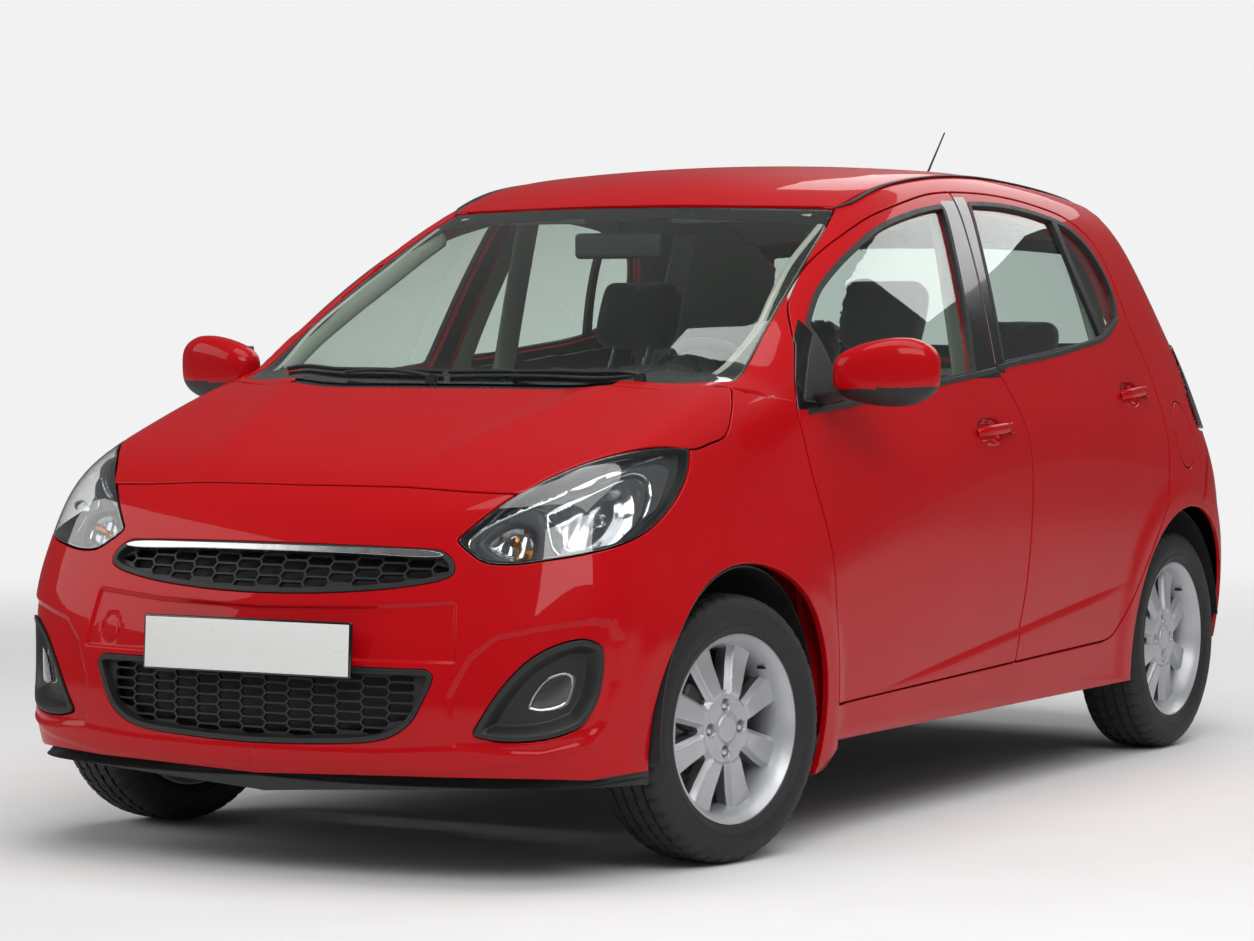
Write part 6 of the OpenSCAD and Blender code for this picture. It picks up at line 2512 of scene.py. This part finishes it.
@dataclass
class Cabin:
    """Seats, dashboard, steering wheel, door cards and linings."""

    finishes: Finishes
    lean: float = 23.0

    def build(self) -> None:
        """Makes the cabin."""
        self.seats()
        self.bench()
        self.dash()
        self.hand_wheel()
        self.doors()
        self.linings()
        self.mirror()

    # -------------------------------------------------- padded seats

    def pad(
        self, name: str, size: Sequence[float], bulge: float, matrix: Matrix, seams: Sequence[float],
        body: str = "car_body", nodes: Sequence[str] = (), cap: float = 24.0,
    ) -> bpy.types.Object:
        """Makes one padded piece with sewn channels.

        Args:
            name: Its name.
            size: Width, length and thickness.
            bulge: How far its side bolsters rise over its middle.
            matrix: Where it goes.
            seams: Places of its channels across the width, as shares of the half width.
            body: What it rides on.
            nodes: Nodes it stands for.
            cap: Furthest a point may move while it fills.

        Returns:
            The piece.
        """
        clear_selection()
        bpy.ops.mesh.primitive_cube_add(size=1)
        piece = bpy.context.object
        piece.name = name
        piece.scale = [s * MM for s in size]
        settle(piece)
        edge = piece.modifiers.new("edge", "BEVEL")
        edge.width = min(size) * 0.34 * MM
        edge.segments = 4
        mesh = piece.modifiers.new("mesh", "REMESH")
        mesh.mode = "VOXEL"
        mesh.voxel_size = (9.0 if size[0] < 300 else 12.0 if size[0] < 600 else 17.0) * MM
        finish_modifiers(piece)
        points = np.array([v.co for v in piece.data.vertices]) / MM
        u, v = points[:, 0] / (size[0] / 2), points[:, 1] / (size[1] / 2)
        top = np.clip(points[:, 2] / (size[2] / 2), 0, 1)
        points[:, 2] += top * bulge * (ease((np.abs(u) - 0.55) / 0.35) - 0.2)
        points[:, 0] *= 1 - 0.05 * v**2
        for vertex, co in zip(piece.data.vertices, points * MM):
            vertex.co = co
        self.fill(piece, cap)
        points = np.array([v.co for v in piece.data.vertices]) / MM
        normals = np.array([v.normal for v in piece.data.vertices])
        dent = np.zeros(len(points))
        u = points[:, 0] / (size[0] / 2)
        for seam in seams:
            dent = np.maximum(dent, np.exp(-(((np.abs(u) - seam) * size[0] / 2) / 7.0) ** 2))
        front = np.clip(normals[:, 2] + 0.3, 0, 1)
        points -= normals * (dent * front * 7.0)[:, None]
        for vertex, co in zip(piece.data.vertices, points * MM):
            vertex.co = co
        extra = piece.modifiers.new("round", "SUBSURF")
        extra.levels = extra.render_levels = 1
        finish_modifiers(piece)
        piece.data.materials.append(self.finishes["cloth"])
        settle(piece, matrix)
        clear_selection()
        piece.select_set(True)
        bpy.context.view_layer.objects.active = piece
        bpy.ops.object.shade_smooth()
        place(piece, body, "seat_cloth", *nodes)
        return piece

    def fill(self, piece: bpy.types.Object, cap: float) -> None:
        """Fills a pad by cloth pressure, within a limit.

        Args:
            piece: The pad.
            cap: Furthest a point may move.
        """
        before = np.array([v.co for v in piece.data.vertices])
        cloth = piece.modifiers.new("fill", "CLOTH")
        cloth.settings.use_pressure = True
        cloth.settings.uniform_pressure_force = 4.0
        cloth.settings.effector_weights.gravity = 0.0
        cloth.settings.quality = 4
        cloth.point_cache.frame_start = 1
        cloth.point_cache.frame_end = 14
        scene = bpy.context.scene
        for frame in range(1, 15):
            scene.frame_set(frame)
        shown = piece.evaluated_get(bpy.context.evaluated_depsgraph_get())
        after = np.array([v.co for v in shown.data.vertices])
        piece.modifiers.remove(cloth)
        scene.frame_set(1)
        move = after - before
        length = np.linalg.norm(move, axis=1, keepdims=True)
        move = move * np.minimum(1, cap * 0.4 * MM / np.maximum(length, 1e-9))
        for vertex, co in zip(piece.data.vertices, before + move):
            vertex.co = co

    def seats(self) -> None:
        """Makes both front seats with head restraints, posts and bases."""
        for side_name, x in (("left", 355.0), ("right", -355.0)):
            nodes = ["front_seats"] if side_name == "left" else []
            seat = Matrix.Translation((x, -178, 400)) @ Matrix.Rotation(math.radians(4), 4, "X")
            self.pad(f"front_cushion_{side_name}", (470, 500, 118), 34, seat, (0.58,), nodes=nodes)
            lean = Matrix.Rotation(math.radians(-self.lean), 4, "X")
            up = Matrix.Rotation(math.radians(90), 4, "X")
            foot = Matrix.Translation((x, 112, 430)) @ lean
            back = foot @ Matrix.Translation((0, 0, 318)) @ up
            self.pad(f"front_back_{side_name}", (455, 600, 100), 40, back, (0.56,))
            head = foot @ Matrix.Translation((0, 2, 790)) @ up
            self.pad(f"front_head_rest_{side_name}", (222, 176, 82), 0, head, ())
            posts = [
                turned("post", [(6, 590), (6, 730)], self.finishes["satin"], foot @ Matrix.Translation((px, 0, 0)), 16)
                for px in (-52, 52)
            ]
            place(gathered(f"front_head_posts_{side_name}", posts), "car_body", "cast_metal")
            base = block(f"front_seat_base_{side_name}", (400, 460, 96), (x, -160, 262), self.finishes["cabin"], 18)
            place(base, "car_body", "cabin_plastic")
            shell = block(
                f"front_seat_trim_{side_name}", (36, 440, 96), (x + (228 if x > 0 else -228), -170, 345),
                self.finishes["cabin"], 16,
            )
            place(shell, "car_body", "cabin_plastic")

    def bench(self) -> None:
        """Makes the rear bench with its back and two head restraints."""
        seat = Matrix.Translation((0, 850, 432)) @ Matrix.Rotation(math.radians(3), 4, "X")
        self.pad("rear_cushion", (1190, 400, 122), 10, seat, (0.34, 0.66), nodes=["rear_bench"])
        lean = Matrix.Rotation(math.radians(-20), 4, "X")
        up = Matrix.Rotation(math.radians(90), 4, "X")
        foot = Matrix.Translation((0, 1070, 420)) @ lean
        self.pad("rear_back", (1090, 570, 100), 14, foot @ Matrix.Translation((0, 0, 300)) @ up, (0.36,))
        for side_name, x in (("left", 330.0), ("right", -330.0)):
            head = foot @ Matrix.Translation((x, 6, 684)) @ up
            self.pad(f"rear_head_rest_{side_name}", (214, 142, 70), 0, head, ())
            posts = [
                turned("post", [(6, 550), (6, 640)], self.finishes["satin"], foot @ Matrix.Translation((px, 0, 0)), 16)
                for px in (x - 44, x + 44)
            ]
            place(gathered(f"rear_head_posts_{side_name}", posts), "car_body", "cast_metal")
        shelf = block("parcel_shelf", (1040, 330, 14), (0, 1420, 985), self.finishes["carpet"], 5,
                      Matrix.Rotation(math.radians(2), 4, "X"))
        place(shelf, "car_body", "cabin_plastic")

    # -------------------------------------------------- dashboard

    def dash(self) -> None:
        """Makes the dashboard with its hood, vents, centre panel and console."""
        f = self.finishes
        line = smooth_line([
            (-880, 900), (-872, 938), (-840, 956), (-760, 985), (-680, 994), (-612, 986), (-570, 955), (-552, 905),
            (-556, 850), (-580, 800), (-600, 700), (-640, 610), (-700, 572), (-790, 640), (-860, 760), (-880, 860),
        ], 16)
        solid = Solid()
        stations = np.linspace(-628, 628, 49)
        rows = []
        for x in stations:
            ends = 1 - 0.04 * (abs(x) / 628) ** 4
            y = line[:, 0] + 22 * (x / 628) ** 2
            hood = 34 * np.exp(-(((x - 350) / 150) ** 4)) * ease((line[:, 1] - 930) / 50)
            z = 780 + (line[:, 1] - 780) * ends + hood
            rows.append(solid.add(np.stack([np.full(len(y), x), y, z], -1)) + np.arange(len(y)))
        grid = np.concatenate(solid.points).reshape(len(stations), len(line), 3)
        du = np.gradient(grid, axis=0)
        dv = np.roll(grid, -1, axis=1) - np.roll(grid, 1, axis=1)
        normal = unit(np.cross(dv, du))
        middle = grid.mean(axis=1, keepdims=True)
        if ((grid - middle) * normal).sum() < 0:
            normal = -normal
        m = len(line)
        flip = float((np.cross(grid[1, 0] - grid[0, 0], grid[0, 1] - grid[0, 0]) * normal[0, 0]).sum()) < 0
        for i in range(len(rows) - 1):
            for j in range(m):
                k = (j + 1) % m
                face = [rows[i][j], rows[i + 1][j], rows[i + 1][k], rows[i][k]]
                turns = [normal[i, j], normal[i + 1, j], normal[i + 1, k], normal[i, k]]
                solid.face(face[::-1] if flip else face, turns[::-1] if flip else turns, 0)
        for i, way in ((0, -1.0), (len(rows) - 1, 1.0)):
            ring = list(rows[i])
            corner = grid[i]
            area = (corner[:, 1] * np.roll(corner[:, 2], -1) - corner[:, 2] * np.roll(corner[:, 1], -1)).sum()
            if area * way < 0:
                ring = ring[::-1]
            solid.face(ring, [np.array([way, 0.0, 0.0])] * m, 0)
        place(solid.build("dashboard_moulding", [f["cabin"]]), "car_body", "cabin_plastic", "dashboard")
        parts = [
            block("stack", (230, 60, 250), (0, -585, 770), f["cabin"], 18, Matrix.Rotation(math.radians(-14), 4, "X")),
            block("console", (220, 560, 130), (0, -330, 300), f["cabin"], 22),
            block("console_rear", (210, 300, 90), (0, 0, 290), f["cabin"], 22),
            block("armrest", (150, 260, 60), (0, 0, 350), f["cabin"], 18),
            block("tunnel_front", (190, 160, 330), (0, -560, 480), f["cabin"], 26),
        ]
        place(gathered("centre_console", parts), "car_body", "cabin_plastic")
        tilt = Matrix.Rotation(math.radians(-14), 4, "X")
        screen = block("stack_display", (170, 8, 92), (0, -548, 838), f["dial"], 4, tilt)
        place(screen, "car_body", "cabin_plastic")
        knobs = []
        for i in range(3):
            at = Matrix.Translation((-66 + 66 * i, -572, 716)) @ Matrix.Rotation(math.radians(76), 4, "X")
            knobs.append(turned("knob", [(20, -26), (22, 0), (20, 12), (17, 15)], f["satin"], at, 32))
        place(gathered("heater_knobs", knobs), "car_body", "cabin_plastic")
        vents = []
        for x in (-560, -70, 70, 560):
            at = Matrix.Translation((x, -548, 895)) @ Matrix.Rotation(math.radians(80), 4, "X")
            vents.append(turned("vent", [(46, -24), (48, 0), (45, 6), (41, 6), (40, -4)], f["gloss"], at, 36))
            for j in range(5):
                vents.append(block("slat", (76, 14, 2.4), (x, -556, 879 + 8 * j), f["cabin"], 1))
        place(gathered("air_vents", vents), "car_body", "cabin_plastic")
        dials = []
        for x, r in ((300, 46), (400, 46)):
            at = Matrix.Translation((x, -566, 948)) @ Matrix.Rotation(math.radians(72), 4, "X")
            dials.append(turned("dial", [(r, -12), (r + 3, 0), (r + 2, 6), (r - 2, 6), (r - 4, 0)], f["dial"], at, 40))
        place(gathered("dials", dials), "car_body", "cabin_plastic")
        knob_at = Matrix.Translation((0, -330, 462))
        lever = [
            turned("stick", [(7, 0), (6, 120)], f["satin"], Matrix.Translation((0, -330, 350)), 16),
            turned("boot", [(62, 0), (40, 26), (14, 60), (9, 66)], f["grip"], Matrix.Translation((0, -330, 352)), 32),
            turned("knob", [(12, 0), (22, 12), (25, 30), (20, 46), (8, 52)], f["grip"], knob_at, 32),
        ]
        place(gathered("gear_lever", lever), "car_body", "cabin_plastic")

    def hand_wheel(self) -> None:
        """Makes the steering wheel with its rim, three spokes and hub pad."""
        f = self.finishes
        at = Matrix.Translation((350, -440, 945)) @ Matrix.Rotation(math.radians(-66), 4, "X")
        clear_selection()
        bpy.ops.mesh.primitive_torus_add(major_radius=0.170, minor_radius=0.015, major_segments=72, minor_segments=20)
        rim = bpy.context.object
        rim.data.materials.append(f["grip"])
        settle(rim, at)
        smooth(rim, 60)
        pieces = [rim]
        for a in (0, 180, 270):
            turn = Matrix.Rotation(math.radians(a), 4, "Z")
            pieces.append(block("spoke", (104, 40, 18), (0, 0, 0), f["cabin"], 8, None))
            settle(pieces[-1], at @ turn @ Matrix.Translation((106, 0, -8)))
        hub = block("pad", (140, 116, 46), (0, 0, 0), f["cabin"], 22, None, 5)
        settle(hub, at @ Matrix.Translation((0, 0, -8)))
        pieces.append(hub)
        column = turned("column", [(40, -150), (46, -60), (52, -44), (40, -36)], f["cabin"], at, 36)
        wheel = gathered("steering_wheel_rim", pieces)
        place(wheel, "steering_wheel", "cabin_plastic", "steering_wheel")
        place(column, "car_body", "cabin_plastic")

    # -------------------------------------------------- linings

    def doors(self) -> None:
        """Makes the inner door cards with armrests."""
        side = Chart.SIDE
        f = self.finishes
        for door, outline, window, arm in (
            ("front_door", [(-765, 560), (-722, 348), (150, 352), (215, 560), (225, 780), (150, 1005), (-740, 930)],
             LINES.front_window, (-300.0, 700.0, 360.0)),
            ("rear_door", [(285, 560), (262, 362), (720, 372), (860, 520), (1000, 690), (1085, 860), (1070, 1085),
                           (230, 1020), (300, 800)],
             LINES.rear_window, (560.0, 730.0, 330.0)),
        ):
            keep = BODY.lift(side, round_corners(np.array(outline, float), range(len(outline)), 24))
            card = Sheet(
                side, [wind(keep)], [grown(window, 6)], inner=lambda p: door_depth(p) + 9,
                outer=lambda p: door_depth(p) + 1.5, roll=1.5, spacing=24,
                regions=[(np.array([(-900, 300), (1200, 300), (1200, 700), (-900, 640)], float), 1)],
                inner_slot=1,
            ).solid()
            y, z, length = arm
            at = BODY.lift(side, np.array([[y, z]]))[0]
            pieces = pair(card, door + "_card", [f["pale"], f["cabin"]])
            for side_name, piece in zip(("left", "right"), pieces):
                sign = 1 if side_name == "left" else -1
                rest = block(
                    f"{door}_armrest_{side_name}", (64, length, 60), (sign * (at[0] - 122), y, z), f["cabin"], 24
                )
                place(piece, f"{door}_{side_name}", "cabin_plastic")
                place(rest, f"{door}_{side_name}", "cabin_plastic")

    def linings(self) -> None:
        """Makes the headlining, pillar trims, floor carpet and sun visors."""
        plan = Chart.PLAN
        f = self.finishes
        line = BODY.lay(plan, grown(LINES.roof, -6))
        lining = Sheet(plan, [line], outer=30.0, inner=36.0, roll=2.0, spacing=40).solid()
        place(lining.build("headlining", [f["lining"]]), "car_body", "roof_lining", "headliner")
        for side_name, x in (("left", 300.0), ("right", -300.0)):
            at = BODY.lift(plan, np.array([[x, -150.0]]))[0]
            visor = block(
                f"sun_visor_{side_name}", (380, 150, 16), (x, -165, at[2] - 52), f["lining"], 7,
                Matrix.Rotation(math.radians(9), 4, "X"),
            )
            place(visor, "car_body", "roof_lining")
        for side_name, sign in (("left", 1), ("right", -1)):
            posts = []
            for low, high, wide in (
                ((sign * 704, 222, 640), (sign * 590, 256, 1400), 100),
                ((sign * 676, 1120, 960), (sign * 566, 1060, 1380), 120),
            ):
                t = np.linspace(0, 1, 12)[:, None]
                path = np.array(low) * (1 - t) + np.array(high) * t
                path[:, 0] += sign * 10 * np.sin(np.pi * t[:, 0])
                posts.append(swept(path, np.tile([[14.0, wide / 2]], (12, 1)), (0, 1, 0), 20))
            post = joined(*posts)
            place(post.build(f"pillar_trim_{side_name}", [f["pale"]]), "car_body", "roof_lining")
        post_line = [(-905, 560), (-735, 570), (-620, 548), (-480, 520), (-330, 506), (-275, 500)]
        for side_name, sign in (("left", 1), ("right", -1)):
            laid = smooth_line([(x, y) for y, x in post_line], 24)
            top = BODY.lift(plan, laid)
            path = top - BODY.normal(top) * 34
            path[:, 0] += 34
            solid = swept(path, np.tile([[15.0, 26.0]], (len(path), 1)), (0, 0, 1), 18)
            solid = solid if sign > 0 else solid.mirrored()
            place(solid.build(f"windscreen_post_trim_{side_name}", [f["pale"]]), "car_body", "roof_lining")
        carpet = block("floor_carpet", (1190, 1440, 12), (0, -90, 208), f["carpet"], 4)
        place(carpet, "car_body", "cabin_plastic")
        boot = block("boot_carpet", (900, 560, 12), (0, 1440, 366), f["carpet"], 4)
        place(boot, "car_body", "cabin_plastic")

    def mirror(self) -> None:
        """Makes the inside mirror on its foot."""
        f = self.finishes
        shell = block("shell", (236, 26, 62), (0, -300, 1330), f["cabin"], 12, None, 5)
        glass = block("glass", (216, 3, 50), (0, -285, 1330), f["mirror"], 10, None, 5)
        foot = turned("foot", [(9, 0), (7, 40), (15, 62)], f["cabin"], Matrix.Translation((0, -296, 1336)), 20)
        place(gathered("inside_mirror", [shell, glass, foot]), "car_body", "cabin_plastic", "interior_mirror")


# ---------------------------------------------------------------- outer trim


@dataclass
class Trim:
    """Mouldings, seals, wipers, aerial, spoiler and sill fittings."""

    finishes: Finishes

    def build(self) -> None:
        """Makes the trim."""
        self.roof_mouldings()
        self.belts()
        self.wipers()
        self.aerial()
        self.spoiler()
        self.scuttle()
        self.flaps()

    def roof_mouldings(self) -> None:
        """Makes the black strips along both roof edges."""
        plan = Chart.PLAN
        edge = smooth_line([(527, -196), (545, -150), (551, 0), (559, 400), (554, 900), (541, 1320)], 20)
        top = BODY.lift(plan, edge)
        path = top + BODY.normal(top) * 1.2
        t = np.linspace(0, 1, len(path))
        wide = 7.0 * ease(np.minimum(t, 1 - t) / 0.03) + 1.0
        strip = swept(path, np.stack([wide, np.full(len(path), 3.2)], -1), (0, 0, 1), 14)
        piece = joined(strip, strip.mirrored()).build("roof_edge_mouldings", [self.finishes["black"]])
        place(piece, "car_body", "black_plastic")

    def belts(self) -> None:
        """Makes the black sealing strips under the door windows."""
        side = Chart.SIDE
        for door, points in (
            ("front_door", [(-760, 955), (-590, 966), (-270, 994), (43, 1019), (166, 1030)]),
            ("rear_door", [(174, 1034), (300, 1045), (500, 1059), (700, 1079), (860, 1098), (985, 1143)]),
        ):
            laid = smooth_line(points, 20)
            low = laid + np.array([0, -7])
            loop = BODY.lift(side, np.concatenate([laid + np.array([0, 6]), low[::-1]]))
            strip = Sheet(side, [wind(loop)], outer=-3.0, inner=10.0, roll=2.4, spacing=400).solid()
            for side_name, piece in zip(("left", "right"), pair(strip, door + "_belt_seal", [self.finishes["black"]])):
                place(piece, f"{door}_{side_name}", "black_plastic")

    def wipers(self) -> None:
        """Makes both wipers: pivot cap, arm, spring box and blade."""
        f = self.finishes
        plan = Chart.PLAN
        pieces: list[Solid] = []
        for pivot, knee, tip, blade in (
            ((470, -1022), (330, -1020), (130, -1004), ((430, -982), (-40, -1002))),
            ((-60, -1046), (-150, -1030), (-320, -1000), ((-60, -1000), (-520, -948))),
        ):
            arm = smooth_line([pivot, knee, tip], 14)
            top = BODY.lift(plan, arm)
            t = np.linspace(0, 1, len(arm))
            path = top + BODY.normal(top) * (9 + 9 * np.sin(np.pi * t))[:, None]
            pieces.append(swept(path, np.stack([9.0 - 4.0 * t, 5.0 - 1.5 * t], -1), (0, 0, 1), 14))
            line = smooth_line([blade[0], ((blade[0][0] + blade[1][0]) / 2, (blade[0][1] + blade[1][1]) / 2 + 3),
                                blade[1]], 14)
            top = BODY.lift(plan, line)
            n = BODY.normal(top)
            pieces.append(swept(top + n * 6.0, np.tile([[4.6, 3.4]], (len(line), 1)), (0, 0, 1), 12))
            pieces.append(swept(top + n * 2.0, np.tile([[1.4, 3.0]], (len(line), 1)), (0, 0, 1), 8))
            base = BODY.lift(plan, np.array([pivot, (pivot[0] - 14, pivot[1] + 2)], float))
            pieces.append(swept(
                np.stack([base[0] - [0, 0, 8], base[0] + [0, 0, 6], base[0] + [0, 0, 12]]),
                np.array([[15.0, 15.0], [14.0, 14.0], [9.0, 9.0]]), (0, 1, 0), 20,
            ))
        place(joined(*pieces).build("wiper_arms", [f["black"]]), "car_body", "black_plastic", "wipers")

    def aerial(self) -> None:
        """Makes the roof aerial: foot, sprung base and tapering coiled rod."""
        f = self.finishes
        foot = BODY.lift(Chart.PLAN, np.array([[0.0, 1316.0]]))[0]
        way = np.array([0.0, math.sin(math.radians(44)), math.cos(math.radians(44))])
        t = np.linspace(0, 1, 90)
        rod = foot + way * (8 + 311 * t)[:, None]
        coil = 0.45 * np.sin(t * 300)
        radius = 4.2 - 2.2 * t + coil * (t > 0.08)
        base = swept(
            np.array([foot + [0, 4 * k, -4 + 5.2 * k] for k in range(5)]),
            np.array([[24, 30], [23, 29], [19, 25], [13, 18], [7, 8]], float), (0, 1, 0), 32,
        )
        mast = swept(rod, np.stack([radius, radius], -1), (0, 1, 0), 12)
        place(joined(base, mast).build("aerial_mast", [f["black"]]), "car_body", "black_plastic", "aerial")

    def spoiler(self) -> None:
        """Makes the small lip over the rear glass."""
        hatch = Chart.HATCH
        top = np.array(along(hatch, Chart.PLAN, [(0, 1358), (300, 1355), (500, 1348)]))
        low = np.array(along(hatch, Chart.REAR, [(-520, 1362), (-300, 1380), (0, 1388)]))
        half = np.concatenate([smooth_line(top, 20), smooth_line(low, 20)])
        loop = flipped(half)

        def rise(p: np.ndarray) -> np.ndarray:
            v = BODY.lay(hatch, p)[:, 1]
            reach = (top[0][1] - v) / max(top[0][1] - low[-1][1], 1e-6)
            return -2.0 - 17.0 * ease(reach)

        lip = Sheet(hatch, [loop], outer=rise, inner=2.0, roll=3.0, spacing=12).solid()
        place(lip.build("tailgate_lip", [self.finishes["red"]]), "tailgate", "red_paint")

    def scuttle(self) -> None:
        """Makes the black scuttle grille between bonnet and windscreen."""
        plan = Chart.PLAN
        half = np.concatenate([
            smooth_line([(0, -1101), (308, -1090), (497, -1065), (610, -1012), (650, -990)], 16),
            smooth_line([(660, -960), (600, -978), (480, -1028), (300, -1052), (0, -1062)], 16),
        ])
        louvres = []
        for x in range(-380, 400, 19):
            if abs(x) > 30:
                louvres.append(np.array([(x - 5, -1088), (x + 5, -1088), (x + 5, -1070), (x - 5, -1070)], float))
        panel = Sheet(plan, [flipped(half)], louvres, outer=9.0, inner=16.0, roll=1.6, spacing=30).solid()
        piece = panel.build("scuttle_grille", [self.finishes["black"]])
        place(piece, "car_body", "black_plastic")

    def flaps(self) -> None:
        """Makes the small air flaps ahead of the rear wheels and the sill seams."""
        f = self.finishes
        pieces = []
        for sign in (1, -1):
            pieces.append(block("flap", (118, 6, 58), (sign * 728, 914, 238), f["black"], 2.5))
            pieces.append(block("seam", (3, 1480, 14), (sign * 730, 60, 224), f["chassis"], 1))
        place(gathered("sill_flaps", pieces), "car_body", "black_plastic")


@dataclass
class Underbody:
    """CAD nodes that stay as they are, with their real finishes."""

    finishes: Finishes

    def build(self) -> None:
        """Dresses the nodes."""
        nodes = {
            "floor_pan": "chassis", "cowl_panel": "black", "engine": "cast", "exhaust": "exhaust",
            "rear_axle": "chassis", "front_subframe": "chassis", "fuel_tank": "tank", "wheel_liners": "black",
            "knuckle_left": "cast", "knuckle_right": "cast",
        }
        for node, finish in nodes.items():
            piece = bpy.data.objects[node]
            piece.data.materials.clear()
            piece.data.materials.append(self.finishes[finish])
            log.info("node %s in %s", node, finish)


def main() -> None:
    """Builds the car in order."""
    logging.basicConfig(level=logging.INFO, format="%(message)s")
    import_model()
    bpy.context.scene.view_settings.view_transform = "Standard"
    Studio().build()
    finishes = Finishes()
    for part in (
        OuterPanels(finishes), Glazing(finishes), Lamps(finishes), Grilles(finishes), Plates(finishes),
        DoorFittings(finishes), Wheels(finishes), Trim(finishes), Cabin(finishes), Underbody(finishes),
    ):
        log.info("building %s", type(part).__name__)
        part.build()


if __name__ == "__main__":
    main()
